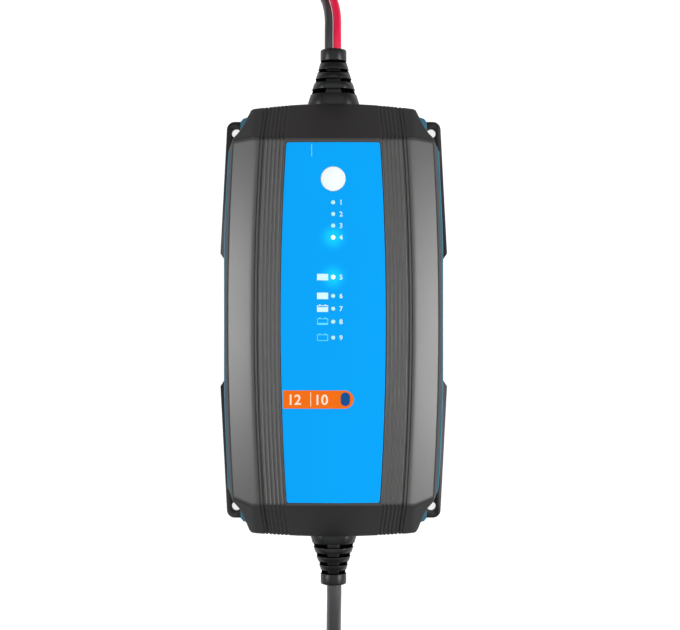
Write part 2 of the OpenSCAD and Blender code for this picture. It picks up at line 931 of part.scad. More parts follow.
// Vertices of one ring of a tube
function tube_ring(c, t, r, n) =
  let (s = across(t), u = cross(s, t))
    [for (k = [0 : n - 1]) c + r * (cos(360 * k / n) * s + sin(360 * k / n) * u)];

module tube(path, r, n) {
  rings = len(path);
  points = [for (i = [0 : rings - 1]) each tube_ring(path[i], heading(path, i), r, n)];
  sides = [
    for (i = [0 : rings - 2])
      for (k = [0 : n - 1])
        let (a = i * n + k, b = i * n + (k + 1) % n)
          each [[a, b, b + n], [a, b + n, a + n]]
  ];
  first = [for (k = [1 : n - 2]) [0, k + 1, k]];
  last = [for (k = [1 : n - 2]) let (o = (rings - 1) * n) [o, o + k, o + k + 1]];
  polyhedron(points = points, faces = concat(sides, first, last), convexity = 10);
}

function path_length(path) = let (n = len(path)) [
  for (i = 0, total = 0; i < n; total = total + (i + 1 < n ? norm(path[i + 1] - path[i]) : 0), i = i + 1) total
][n - 1];

// ---- Coils ----
// A coil spirals in on its lower layer and out again on its upper one. It starts at the coil's
// left, heading along +Y where way is 1 and along -Y where way is -1. It ends there too, or at
// the right where the upper layer's turns_out is half a turn less.
coil_steps = 24;

// Reach of the spiral at angle u in radians, eased where it turns back at the coil's inside
function coil_reach(u) = u > PI / 2 ? u : u * u / PI + PI / 4;
function smooth(u) = let (c = max(0, min(1, u))) c * c * (3 - 2 * c);

function coil_path(centre, inner_r, turns, turns_out, pitch, z_low, z_high, d, way) =
  let (
    spiral = [
      for (i = [-coil_steps * turns : coil_steps * turns_out])
        let (
          f = 2 * PI * i / coil_steps,
          r = inner_r + pitch * coil_reach(abs(f)) / (2 * PI),
          a = 180 - way * 360 * i / coil_steps,
          z = z_low + (z_high - z_low) * smooth((f + PI / 2) / PI)
        )
          [centre[0] + r * cos(a), centre[1] + r * sin(a), z]
    ],
    lead_in = spiral[0] - [0, way * d, 0],
    lead_out = last_of(spiral) + [0, way * cos(360 * turns_out) * d / 4, 0]
  )
    concat([lead_in], spiral, [lead_out]);

function last_of(path) = path[len(path) - 1];

// Least distance between points of a path that lie more than half a turn apart along it, less d
function least_gap(path, d) = min([
  for (i = [1 : 3 : len(path) - 2])
    for (j = [i + coil_steps / 2 : 1 : len(path) - 2])
      norm(path[i] - path[j])
]) - d;

// Points of a route, given from the outer end of a strain relief at end
function after_relief(end, points) = [for (p = points) [p[0], end + p[1], p[2]]];

// ---- Battery lead ----
dc_end = half_l + dc_relief_l;
dc_coil_y = dc_end + 85.2;
dc_turns = 4;
dc_coil_pitch = wire_d + 0.8;
dc_inner_r = 15.7;
dc_outer_r = dc_inner_r + dc_coil_pitch * dc_turns;
// The pair stands on edge in its coil, the black wire under the red one
pair_z = tie_t + 2 * seat_gap + wire_d / 2 + wire_pitch / 2;
layer_step = 2 * wire_pitch + 0.6;

// Middle of the pair from the strain relief to the coil, and how far it has turned on edge
dc_route = after_relief(dc_end, [
  [-0.25, 0, 29.5], [-0.25, 4.2, 29.25], [-0.25, 9.2, 28.25], [-0.25, 14.2, 26],
  [-0.75, 19.2, 23.25], [-2, 24.2, 19.75], [-4.25, 29.2, 16.25], [-7.25, 34.2, 12.5],
  [-10.75, 39.2, 9.5], [-14.75, 44.2, 7], [-19, 49.2, 5.5], [-23, 54.2, 5],
  [-26.5, 59.2, 5], [-29.5, 64.2, 5], [-31.75, 69.2, 5], [-33.25, 74.2, 5], [-33.5, 78.2, 5]
]);
dc_turned = [0, 0, 0, 0, 6, 16, 28, 42, 56, 68, 78, 86, 90, 90, 90, 90, 90];

dc_route_end = [-dc_outer_r, dc_coil_y - wire_d, pair_z];
dc_middle = concat(dc_route, [dc_route_end]);
dc_turns_on_edge = concat(dc_turned, [90]);

// Path of one wire of the pair: side is 1 for the red wire and -1 for the black one
function wire_path(side) = [
  for (i = [0 : len(dc_middle) - 1])
    let (t = heading(dc_middle, i), s = across(t), u = cross(s, t), a = dc_turns_on_edge[i])
      dc_middle[i] + side * wire_pitch / 2 * (cos(a) * s + sin(a) * u)
];

function dc_coil_path(side) = coil_path(
  [0, dc_coil_y], dc_inner_r, dc_turns, dc_turns, dc_coil_pitch,
  pair_z + side * wire_pitch / 2, pair_z + side * wire_pitch / 2 + layer_step, wire_d, 1
);

// Clamps lie on their sides past the coil, at these places of their pins
clamp_y = dc_coil_y + 99;
black_clamp_x = -clamp_pitch / 2;
red_clamp_x = clamp_pitch / 2;
clamp_mid_z = clamp_h / 2;

function clamp_entry(x) = [x - handle_spread / 2, clamp_y - handle_l, clamp_mid_z];

black_tail = after_relief(dc_end, [
  [-34.1, 96.3, 10.7], [-35, 102.5, 8.8], [-36.3, 108.8, 6.8], [-37.9, 115.1, 5.7],
  [-39.4, 121.4, 5.9], [-40.7, 127.6, 7.1], [-41.6, 133.9, 8.4]
]);
red_tail = after_relief(dc_end, [
  [-33.3, 95, 15], [-32.1, 99.9, 14.2], [-30.2, 104.6, 13.2], [-27.5, 108.9, 11.9],
  [-24.3, 112.8, 10.6], [-20.4, 116, 9.5], [-16.1, 118.7, 8.6], [-11.4, 120.6, 8.1],
  [-6.5, 121.8, 8], [-1.8, 123.6, 8.1], [2.2, 126.6, 8.4], [5.4, 130.6, 8.7], [7.3, 135.2, 8.9]
]);

module dc_lead_black() { color(wire_black) tube(wire_path(-1), wire_d / 2, 8); }
module dc_lead_red() { color(wire_red) tube(wire_path(1), wire_d / 2, 8); }
module dc_coil_black() { color(wire_black) tube(dc_coil_path(-1), wire_d / 2, 6); }
module dc_coil_red() { color(wire_red) tube(dc_coil_path(1), wire_d / 2, 6); }

module clamp_lead_black() {
  color(wire_black)
    tube(concat([last_of(dc_coil_path(-1))], black_tail, [clamp_entry(black_clamp_x)]), wire_d / 2, 8);
}

module clamp_lead_red() {
  color(wire_red)
    tube(concat([last_of(dc_coil_path(1))], red_tail, [clamp_entry(red_clamp_x)]), wire_d / 2, 8);
}

// A strap round a coil's bundle of turns at the coil's right
module tie(y, inner_r, turns, pitch, d, low, high) {
  near = inner_r + 0.5 * pitch - d / 2 - 2 * seat_gap;
  far = inner_r + (turns - 0.5) * pitch + d / 2 + 2 * seat_gap;
  translate([0, y + tie_w / 2, 0])
    rotate([90, 0, 0])
      linear_extrude(height = tie_w)
        difference() {
          translate([near - tie_t, low - tie_t]) square([far - near + 2 * tie_t, high - low + 2 * tie_t]);
          translate([near, low]) square([far - near, high - low]);
        }
}

module dc_coil_tie() {
  color("#1b1b1c")
    tie(dc_coil_y, dc_inner_r, dc_turns, dc_coil_pitch, wire_d,
      tie_t + 0.05, pair_z + layer_step + wire_pitch / 2 + wire_d / 2 + 2 * seat_gap);
}

// ---- Battery clamps ----
// Outline of the half that opens, closed jaws meeting at x = 0, seen from above
contact_t = 0.8;
// Half of the gap between the closed teeth
half_mouth = 0.25;
knuckle_r = 6;
jaw_face_x = half_mouth + contact_t;
handle_x = handle_spread / 2;
half_handle_w = 3.5;
arm_points = [
  [jaw_face_x, jaw_l], [jaw_face_x, jaw_l - 8], [3.6, jaw_l - 11.5], [4.4, jaw_l - 18],
  [5.2, jaw_l - 26], [knuckle_r + 0.4, 6.4], [knuckle_r + 0.4, -6.4],
  [handle_x - half_handle_w, -handle_l], [handle_x + half_handle_w, -handle_l], [13.2, -22],
  [11.2, -10], [10.6, 0], [11.4, 10],
  [10.8, jaw_l - 16], [7, jaw_l - 6], [3.6, jaw_l]
];

module arm_form() {
  linear_extrude(height = clamp_h) polygon(arm_points);
}

module knuckle(z, h) {
  translate([0, 0, z])
    difference() {
      union() {
        cylinder(r = knuckle_r, h = h);
        translate([0, -knuckle_r, 0]) cube([knuckle_r + 2, 2 * knuckle_r, h]);
      }
      translate([0, 0, -eps]) cylinder(d = clamp_pin_d + 2 * pin_fit, h = h + 2 * eps);
    }
}

// Fixed half: outer knuckles, on the left
module clamp_body() {
  mirror([1, 0, 0]) {
    arm_form();
    knuckle(0, knuckle_t);
    knuckle(clamp_h - knuckle_t, knuckle_t);
  }
}

// Moving half: inner knuckles, on the right
module clamp_lever() {
  arm_form();
  knuckle(knuckle_t + seat_gap, knuckle_t);
  knuckle(clamp_h - 2 * knuckle_t - seat_gap, knuckle_t);
}

module clamp_pin() {
  cylinder(d = clamp_pin_d, h = clamp_h);
}

// Toothed copper strip on a jaw's inner face
contact_teeth = 5;
contact_l = 7.6;
contact_inset = 2;
contact_foot = jaw_l - 0.2 - contact_l;
tooth_depth = 0.4;

module contact() {
  translate([0, 0, contact_inset])
    linear_extrude(height = clamp_h - 2 * contact_inset)
      polygon(concat(
        [[jaw_face_x, contact_foot + contact_l], [jaw_face_x, contact_foot]],
        [
          for (i = [0 : 2 * contact_teeth])
            [half_mouth + (i % 2 == 0 ? tooth_depth : 0), contact_foot + contact_l * i / (2 * contact_teeth)]
        ]
      ));
}

// Torsion spring round the pin, wound from round wire
spring_wire = 1;
spring_r = 3.6;
spring_turns = 3;
spring_pitch = spring_wire + 0.42;
spring_steps = 8;
spring_coil = [
  for (i = [0 : spring_steps * spring_turns])
    let (a = 360 * i / spring_steps, z = spring_pitch * (i / spring_steps - spring_turns / 2))
      [spring_r * cos(a), spring_r * sin(a), clamp_mid_z + z]
];
spring_leg = [for (y = [-5, -2]) [spring_r, y, spring_coil[0][2]]];

module clamp_spring() {
  tube(concat(spring_leg, spring_coil), spring_wire / 2, 6);
}

module black_clamp() { translate([black_clamp_x, clamp_y, 0]) children(); }
module red_clamp() { translate([red_clamp_x, clamp_y, 0]) children(); }

module black_clamp_body() { color(wire_black) black_clamp() clamp_body(); }
module black_clamp_lever() { color(wire_black) black_clamp() clamp_lever(); }
module black_clamp_pin() { color(steel) black_clamp() clamp_pin(); }
module black_clamp_spring() { color(steel) black_clamp() clamp_spring(); }
module black_body_contact() { color(copper) black_clamp() mirror([1, 0, 0]) contact(); }
module black_lever_contact() { color(copper) black_clamp() contact(); }
module red_clamp_body() { color(wire_red) red_clamp() clamp_body(); }
module red_clamp_lever() { color(wire_red) red_clamp() clamp_lever(); }
module red_clamp_pin() { color(steel) red_clamp() clamp_pin(); }
module red_clamp_spring() { color(steel) red_clamp() clamp_spring(); }
module red_body_contact() { color(copper) red_clamp() mirror([1, 0, 0]) contact(); }
module red_lever_contact() { color(copper) red_clamp() contact(); }

// ---- Mains lead ----
mains_end = -half_l - mains_relief_l;
mains_coil_y = mains_end - 106;
mains_turns = 3;
mains_turns_out = mains_turns - 0.5;
mains_coil_pitch = mains_d + 0.8;
mains_inner_r = 27;
mains_low_z = tie_t + 2 * seat_gap + mains_d / 2;
mains_high_z = mains_low_z + mains_d + 0.8;

mains_route = after_relief(mains_end, [
  [0.3, 0, 29.5], [0.3, -6, 29.2], [0.2, -12, 28.3], [0.1, -18, 26.7], [0, -24, 24.7],
  [-0.7, -30.7, 22], [-2.5, -37.2, 18.9], [-5.4, -43.2, 15.8], [-9.4, -48.6, 12.7],
  [-14.1, -53.3, 9.9], [-19.5, -57.3, 7.5], [-25.2, -60.8, 5.8], [-30.8, -64.4, 4.9],
  [-36, -68.8, 4.7], [-40.5, -74, 4.6], [-44.1, -79.9, 4.6], [-46.8, -86.1, 4.6],
  [-48.3, -92.8, 4.6]
]);
mains_coil_route = coil_path(
  [0, mains_coil_y], mains_inner_r, mains_turns, mains_turns_out, mains_coil_pitch,
  mains_low_z, mains_high_z, mains_d, -1
);

// The plug lies on the coil, and the lead climbs to it round the coil's near side
plug_x = -33;
plug_z = mains_high_z + mains_d / 2 + seat_gap + plug_d / 2;
plug_rear_y = mains_coil_y + 6.1;
plug_route = after_relief(mains_end, [
  [45.25, -102.75, 11.95], [44, -94.2, 12.5], [39.7, -83.1, 14], [32.6, -73.4, 16.2],
  [23.2, -65.8, 19], [12.1, -60.8, 22.1], [0, -58.9, 25.2], [-8.5, -60.2, 27.4],
  [-16.5, -63.9, 29.4], [-23.3, -69.8, 31.2], [-28.6, -77.4, 32.7], [-31.9, -86.3, 33.6],
  [-33, -95.9, 34]
]);

module mains_lead() { color(cable_grey) tube(concat(mains_route, [mains_coil_route[0]]), mains_d / 2, 10); }
module mains_coil() { color(cable_grey) tube(mains_coil_route, mains_d / 2, 6); }

module mains_coil_tie() {
  color("#1b1b1c")
    tie(mains_coil_y, mains_inner_r, mains_turns, mains_coil_pitch, mains_d,
      tie_t + 0.05, mains_high_z + mains_d / 2 + 2 * seat_gap);
}

module plug_lead() {
  color(cable_grey)
    tube(concat([last_of(mains_coil_route)], plug_route, [[plug_x, plug_rear_y, plug_z]]), mains_d / 2, 10);
}

// Turns a child so that its +Z runs from the plug's rear to its pins
module along_plug() {
  translate([plug_x, plug_rear_y, plug_z]) rotate([90, 0, 0]) children();
}

earth_slot_w = 7;
earth_slot_t = 2.5;
earth_slot_foot = plug_l - 16;
earth_contact_t = 1;
earth_hole_d = 5;
earth_hole_l = 9;
plug_front_l = 19;
plug_edge = 0.8;
pin_seat_l = 6;
pin_tip_l = 1.5;
pin_tip_cut = 2;

// Outline of the plug's body: grip, shoulder and round front
plug_outline = [
  [0, 0], [5, 0], [5.4, 3], [6.2, 10], [10.5, 15], [plug_d / 2 - 2.5, plug_l - plug_front_l - 2],
  [plug_d / 2 - 0.6, plug_l - plug_front_l + 1], [plug_d / 2, plug_l - plug_front_l + 4],
  [plug_d / 2, plug_l - plug_edge], [plug_d / 2 - plug_edge, plug_l], [0, plug_l]
];

module plug_body() {
  color("#232426")
    along_plug()
      difference() {
        rotate_extrude() polygon(plug_outline);
        for (sy = [-1, 1])
          translate([-earth_slot_w / 2, (sy * (plug_d - earth_slot_t) - earth_slot_t) / 2, earth_slot_foot])
            cube([earth_slot_w, earth_slot_t, plug_front_l]);
        for (sx = [-1, 1])
          translate([sx * pin_pitch / 2, 0, plug_l - pin_seat_l])
            cylinder(d = pin_d + 2 * bolted_gap, h = pin_seat_l + eps);
        translate([0, -earth_hole_d, plug_l - earth_hole_l]) cylinder(d = earth_hole_d, h = earth_hole_l + eps);
      }
}

module plug_pins() {
  straight_l = pin_seat_l + pin_l - pin_tip_l;
  color(steel)
    along_plug()
      for (sx = [-1, 1])
        translate([sx * pin_pitch / 2, 0, plug_l - pin_seat_l]) {
          cylinder(d = pin_d, h = straight_l);
          translate([0, 0, straight_l]) cylinder(d1 = pin_d, d2 = pin_d - pin_tip_cut, h = pin_tip_l);
        }
}

module plug_earth_contacts() {
  contact_r = plug_d / 2 - earth_slot_t + earth_contact_t / 2 + bolted_gap;
  color("#c9b36a")
    along_plug()
      for (sy = [-1, 1])
        translate([0, sy * contact_r, (earth_slot_foot + plug_l) / 2])
          cube([earth_slot_w - 2, earth_contact_t, plug_l - earth_slot_foot - 2 * bolted_gap], center = true);
}

echo(dc_coil_gap = least_gap(dc_coil_path(1), wire_d));
echo(mains_coil_gap = least_gap(mains_coil_route, mains_d));
echo(black_wire_length = path_length(wire_path(-1)) + path_length(dc_coil_path(-1)) + path_length(black_tail));
echo(red_wire_length = path_length(wire_path(1)) + path_length(dc_coil_path(1)) + path_length(red_tail));
echo(mains_length = path_length(mains_route) + path_length(mains_coil_route) + path_length(plug_route));

back_shell();
seal_ring();
top_cover();
front_label();
cover_screws();
mode_button();
light_guides();
display_board();
status_lamps();
switch_body();
switch_plunger();
display_cable();
main_board();
board_screws();
mains_fuse();
line_choke_core();
line_choke_winding();
filter_capacitor();
bridge_rectifier();
bulk_capacitor();
switching_transistor();
primary_heatsink();
transformer_core();
transformer_winding();
output_diodes();
output_heatsink();
output_choke_core();
output_choke_winding();
output_capacitors();
radio_module();
lead_terminals();
dc_strain_relief();
mains_strain_relief();
dc_lead_black();
dc_lead_red();
dc_coil_black();
dc_coil_red();
dc_coil_tie();
clamp_lead_black();
clamp_lead_red();
black_clamp_body();
black_clamp_lever();
black_clamp_pin();
black_clamp_spring();
black_body_contact();
black_lever_contact();
red_clamp_body();
red_clamp_lever();
red_clamp_pin();
red_clamp_spring();
red_body_contact();
red_lever_contact();
mains_lead();
mains_coil();
mains_coil_tie();
plug_lead();
plug_body();
plug_pins();
plug_earth_contacts();
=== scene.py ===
"""Looks of a sealed car battery charger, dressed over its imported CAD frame.

The frame is in metres. The shapes here are worked out in millimetres and turned into metres
where a mesh or a curve is made. +Z points out of the front, +Y towards the battery lead.
"""
import json
from math import atan, ceil, cos, pi, radians, sin, sqrt

import bmesh
import bpy
import numpy as np
from mathutils import Matrix, Vector
from mathutils.geometry import delaunay_2d_cdt


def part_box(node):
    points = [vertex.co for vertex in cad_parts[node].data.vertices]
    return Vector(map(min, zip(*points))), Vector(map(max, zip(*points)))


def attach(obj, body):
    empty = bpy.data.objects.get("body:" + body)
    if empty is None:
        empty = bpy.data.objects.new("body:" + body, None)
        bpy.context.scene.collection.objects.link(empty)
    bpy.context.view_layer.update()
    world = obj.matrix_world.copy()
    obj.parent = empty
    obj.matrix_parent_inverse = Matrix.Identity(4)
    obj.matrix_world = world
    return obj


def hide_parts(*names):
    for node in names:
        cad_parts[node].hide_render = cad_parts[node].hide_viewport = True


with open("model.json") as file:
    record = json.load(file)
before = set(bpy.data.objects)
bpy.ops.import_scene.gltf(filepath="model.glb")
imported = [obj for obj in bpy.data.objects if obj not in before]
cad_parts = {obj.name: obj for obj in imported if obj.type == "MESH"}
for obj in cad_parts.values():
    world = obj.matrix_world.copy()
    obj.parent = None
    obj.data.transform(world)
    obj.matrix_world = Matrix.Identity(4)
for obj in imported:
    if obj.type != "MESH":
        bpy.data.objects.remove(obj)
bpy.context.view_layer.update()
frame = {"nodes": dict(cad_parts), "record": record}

MM = 0.001


# ---- Sizes in millimetres ----
# They are the construction's, apart from the cheeks, which are wider, lower and slightly bulged
# here, and from the flutes and border lines, which are shallower.
cover_low, cover_high = (np.array(corner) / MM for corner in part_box("top_cover"))
cover_w = cover_high[0] - cover_low[0]
half_l = cover_high[1]
case_h = cover_high[2]
seam_z = cover_low[2]
barrel_sag = 2.4
shoulder_from_end = 19
waist_in = 5.2
waist_on = 6.2
end_inset = 11.6
mains_end_wider = 0.7
end_arch = 2.5
mains_end_arch = 1.5
bevel_fall = 22
dc_bevel_l = 18
mains_bevel_l = 16.5
dc_corner_drop = 1.8
mains_corner_drop = 5
crown_drop = 2.4
cheek_w = 11.0
cheek_inset = 2.1
cheek_drop = 7.3
cheek_bulge = 0.07
shoulder_drop = 18
half_cheek_out = cover_w / 2 - cheek_inset
half_cheek_in = half_cheek_out - cheek_w
half_label_w = half_cheek_in - 12.2
half_label_l = half_l - 18.5
label_shift = 1
label_gap = 0.35
label_t = 0.5
flute_n = 5
flute_pitch = 1.7
flute_w = 0.7
flute_depth = 0.34
border_w = 0.8
border_pitch = 1.5
border_inset = 0.9
border_depth = 0.62
button_y = half_l - 35
button_r = 5.3
lamp_ys = [button_y - 10 - 4.95 * i for i in range(4)]
lamp_ys += [button_y - 41.7 - 6 * step for step in (0, 1.33, 2.23, 3.15, 4.28)]
lit_lamp_ys = [lamp_ys[3], lamp_ys[4]]
lamp_r = 0.9
exit_z = 29.5
wire_d = 3.7
wire_pitch = 3.8
mains_d = 6.5


def linked(name, data):
    """A new object at the origin with this data."""
    made = bpy.data.objects.new(name, data)
    bpy.context.collection.objects.link(made)
    return made


# ---- Camera, straight above the casing ----
FRAME_W, FRAME_H = 680, 630
camera_height = 0.70
middle_height = 0.03
pixels_per_tangent = 1510
centre_px, centre_py = 333.5, 320
metres_per_pixel = (camera_height - middle_height) / pixels_per_tangent

camera_data = bpy.data.cameras.new("camera")
camera_data.sensor_width = 36
camera_data.lens = camera_data.sensor_width * pixels_per_tangent / FRAME_W
camera_data.clip_start = 0.01
camera = linked("camera", camera_data)
camera.location = (
    (FRAME_W / 2 - centre_px) * metres_per_pixel,
    (centre_py - FRAME_H / 2) * metres_per_pixel,
    camera_height,
)
bpy.context.scene.camera = camera


# ---- Cords ----
def unit(v):
    return v / np.linalg.norm(v)


def heading(points, i):
    return unit(points[min(i + 1, len(points) - 1)] - points[max(i - 1, 0)])


def smooth_line(points, step=1.5):
    """A smooth curve through the points, with a point about every step millimetres."""
    p = np.array(points, float)
    p = np.vstack([2 * p[0] - p[1], p, 2 * p[-1] - p[-2]])
    line = []
    for i in range(1, len(p) - 2):
        knots = np.cumsum([0] + [sqrt(np.linalg.norm(p[i + k] - p[i + k - 1])) for k in range(3)])
        count = max(2, int(ceil(np.linalg.norm(p[i + 1] - p[i]) / step)))
        for t in np.linspace(knots[1], knots[2], count, endpoint=False):
            level = [p[i - 1 + k] for k in range(4)]
            for gap in (1, 2, 3):
                level = [
                    ((knots[k + gap] - t) * level[k] + (t - knots[k]) * level[k + 1])
                    / (knots[k + gap] - knots[k])
                    for k in range(4 - gap)
                ]
            line.append(level[0])
    line.append(p[-2])
    return np.array(line)


def coil(centre, inner_r, turns, turns_out, pitch, z_low, z_high, d, way, steps=24):
    """Spirals in on the lower layer, from its left side, and out again on the upper one."""
    points = []
    for i in range(-steps * turns, int(steps * turns_out) + 1):
        turned_by = 2 * pi * i / steps
        reach = abs(turned_by) if abs(turned_by) > pi / 2 else turned_by * turned_by / pi + pi / 4
        r = inner_r + pitch * reach / (2 * pi)
        a = pi - way * turned_by
        rise = min(1, max(0, (turned_by + pi / 2) / pi))
        z = z_low + (z_high - z_low) * rise * rise * (3 - 2 * rise)
        points.append((centre[0] + r * cos(a), centre[1] + r * sin(a), z))
    first = (points[0][0], points[0][1] - way * d, points[0][2])
    out = way * cos(2 * pi * turns_out) * d / 4
    last = (points[-1][0], points[-1][1] + out, points[-1][2])
    return [first] + points + [last]


def from_relief(end, points):
    """Points whose Y is counted from a strain relief's outer end."""
    return [(x, end + y, z) for x, y, z in points]


tie_t = 0.8
seat_gap = 0.3
turn_gap = 0.8
dc_end = half_l + 24.8
mains_end = -half_l - 22

# Battery lead: the pair turns on edge on its way down to its coil
dc_coil_y = dc_end + 85.2
dc_turns = 4
dc_coil_pitch = wire_d + turn_gap
dc_inner_r = 15.7
pair_z = tie_t + 2 * seat_gap + wire_d / 2 + wire_pitch / 2
layer_step = 2 * wire_pitch + 0.6
dc_middle = from_relief(dc_end, [
    (-0.25, 0, 29.5), (-0.25, 4.2, 29.25), (-0.25, 9.2, 28.25), (-0.25, 14.2, 26),
    (-0.75, 19.2, 23.25), (-2, 24.2, 19.75), (-4.25, 29.2, 16.25), (-7.25, 34.2, 12.5),
    (-10.75, 39.2, 9.5), (-14.75, 44.2, 7), (-19, 49.2, 5.5), (-23, 54.2, 5),
    (-26.5, 59.2, 5), (-29.5, 64.2, 5), (-31.75, 69.2, 5), (-33.25, 74.2, 5), (-33.5, 78.2, 5),
]) + [(-dc_inner_r - dc_coil_pitch * dc_turns, dc_coil_y - wire_d, pair_z)]
dc_turned = [0, 0, 0, 0, 6, 16, 28, 42, 56, 68, 78, 86, 90, 90, 90, 90, 90, 90]

clamp_pitch = 50
clamp_y = dc_coil_y + 99
clamp_mid_z = 9
handle_l = 44
handle_spread = 34

# How far each wire runs on inside its clamp's handle, across and along
run_on_x = 3.6
run_on_y = 15


def wire_points(side, tail):
    """One wire of the pair, from the strain relief through the coil and on into its clamp's handle."""
    middle = np.array(dc_middle, float)
    points = []
    for i, degrees in enumerate(dc_turned):
        t = heading(middle, i)
        s = unit(np.cross(t, (0, 0, 1)))
        u = np.cross(s, t)
        a = radians(degrees)
        points.append(middle[i] + side * wire_pitch / 2 * (cos(a) * s + sin(a) * u))
    z = pair_z + side * wire_pitch / 2
    wound = coil(
        (0, dc_coil_y), dc_inner_r, dc_turns, dc_turns, dc_coil_pitch, z, z + layer_step, wire_d, 1,
    )
    handle_x = side * clamp_pitch / 2 - handle_spread / 2
    handle_y = clamp_y - handle_l
    end = (handle_x, handle_y, clamp_mid_z)
    inside = (handle_x + run_on_x, handle_y + run_on_y, clamp_mid_z)
    return smooth_line([*points, *wound[1:], *from_relief(dc_end, tail), end, inside])


black_line = wire_points(-1, [
    (-34.1, 96.3, 10.7), (-35, 102.5, 8.8), (-36.3, 108.8, 6.8), (-37.9, 115.1, 5.7),
    (-39.4, 121.4, 5.9), (-40.7, 127.6, 7.1), (-41.6, 133.9, 8.4),
])
red_line = wire_points(1, [
    (-33.3, 95, 15), (-32.1, 99.9, 14.2), (-30.2, 104.6, 13.2), (-27.5, 108.9, 11.9),
    (-24.3, 112.8, 10.6), (-20.4, 116, 9.5), (-16.1, 118.7, 8.6), (-11.4, 120.6, 8.1),
    (-6.5, 121.8, 8), (-1.8, 123.6, 8.1), (2.2, 126.6, 8.4), (5.4, 130.6, 8.7), (7.3, 135.2, 8.9),
])

# Mains lead: its end climbs over the coil to the plug, which lies on the turns
mains_coil_y = mains_end - 106
mains_turns = 3
mains_coil_pitch = mains_d + turn_gap
mains_inner_r = 27
mains_low_z = tie_t + 2 * seat_gap + mains_d / 2
mains_high_z = mains_low_z + mains_d + turn_gap
plug_d = 37
plug_x = -33
plug_z = mains_high_z + mains_d / 2 + seat_gap + plug_d / 2
plug_rear_y = mains_coil_y + 6.1
mains_line = smooth_line([
    *from_relief(mains_end, [
        (0.3, 0, 29.5), (0.3, -6, 29.2), (0.2, -12, 28.3), (0.1, -18, 26.7), (0, -24, 24.7),
        (-0.7, -30.7, 22), (-2.5, -37.2, 18.9), (-5.4, -43.2, 15.8), (-9.4, -48.6, 12.7),
        (-14.1, -53.3, 9.9), (-19.5, -57.3, 7.5), (-25.2, -60.8, 5.8), (-30.8, -64.4, 4.9),
        (-36, -68.8, 4.7), (-40.5, -74, 4.6), (-44.1, -79.9, 4.6), (-46.8, -86.1, 4.6),
        (-48.3, -92.8, 4.6),
    ]),
    *coil((0, mains_coil_y), mains_inner_r, mains_turns, mains_turns - 0.5, mains_coil_pitch,
          mains_low_z, mains_high_z, mains_d, -1),
    *from_relief(mains_end, [
        (45.25, -102.75, 11.95), (44, -94.2, 12.5), (39.7, -83.1, 14), (32.6, -73.4, 16.2),
        (23.2, -65.8, 19), (12.1, -60.8, 22.1), (0, -58.9, 25.2), (-8.5, -60.2, 27.4),
        (-16.5, -63.9, 29.4), (-23.3, -69.8, 31.2), (-28.6, -77.4, 32.7), (-31.9, -86.3, 33.6),
        (-33, -95.9, 34),
    ]),
    (plug_x, plug_rear_y, plug_z),
])


def cord_curve(name, line, d):
    """A round cord as a curve of one open spline."""
    data = bpy.data.curves.new(name, "CURVE")
    data.dimensions = "3D"
    data.bevel_depth = d / 2 * MM
    data.bevel_resolution = 5
    data.use_fill_caps = True
    spline = data.splines.new("POLY")
    spline.points.add(len(line) - 1)
    for point, place in zip(spline.points, line):
        point.co = (*(place * MM), 1)
    spline.use_smooth = True
    return linked(name, data)


# ---- Materials ----
def linear(hex_colour):
    """The linear colour of an sRGB hex code."""
    channels = [int(hex_colour[i:i + 2], 16) / 255 for i in (1, 3, 5)]
    return (*(c / 12.92 if c <= 0.04045 else ((c + 0.055) / 1.055) ** 2.4 for c in channels), 1)


def fill(tree, node, sockets):
    """Fills a node's sockets. A value is a number, a colour, or another node's output."""
    for key, value in sockets.items():
        if isinstance(value, bpy.types.NodeSocket):
            tree.links.new(value, node.inputs[key])
        else:
            node.inputs[key].default_value = value


def add(tree, kind, sockets=None, **settings):
    """Adds a shader node."""
    made = tree.nodes.new(kind)
    for key, value in settings.items():
        setattr(made, key, value)
    fill(tree, made, sockets or {})
    return made


def new_material(name):
    """An empty material, its node tree and its object coordinates."""
    made = bpy.data.materials.new(name)
    made.use_nodes = True
    return made, made.node_tree, add(made.node_tree, "ShaderNodeTexCoord").outputs["Object"]


def surfaced(made, sockets):
    """Fills a material's surface shader."""
    fill(made.node_tree, made.node_tree.nodes["Principled BSDF"], sockets)
    return made


def noise(tree, place, size_mm, detail=2.0):
    """Noise whose features are about size_mm across."""
    sockets = {"Vector": place, "Scale": 1 / (size_mm * MM), "Detail": detail}
    return add(tree, "ShaderNodeTexNoise", sockets).outputs["Fac"]


def spread(tree, value, low, high, start=0, stop=1, kind="LINEAR"):
    """Maps a value's range, start to stop, to the range low to high."""
    sockets = {"Value": value, "From Min": start, "From Max": stop, "To Min": low, "To Max": high}
    return add(tree, "ShaderNodeMapRange", sockets, interpolation_type=kind).outputs["Result"]


def calculated(tree, operation, a, b):
    return add(tree, "ShaderNodeMath", {0: a, 1: b}, operation=operation).outputs[0]


def two_colours(tree, factor, *colours):
    """Mixes two colours, each a hex code or another node's output."""
    first, second = (linear(c) if isinstance(c, str) else c for c in colours)
    return add(tree, "ShaderNodeMix", {0: factor, 6: first, 7: second}, data_type="RGBA").outputs[2]


def bump(tree, height, depth_mm):
    """A bump of depth_mm from a 0 to 1 height."""
    sockets = {"Height": height, "Strength": 1.0, "Distance": depth_mm * MM}
    return add(tree, "ShaderNodeBump", sockets).outputs["Normal"]


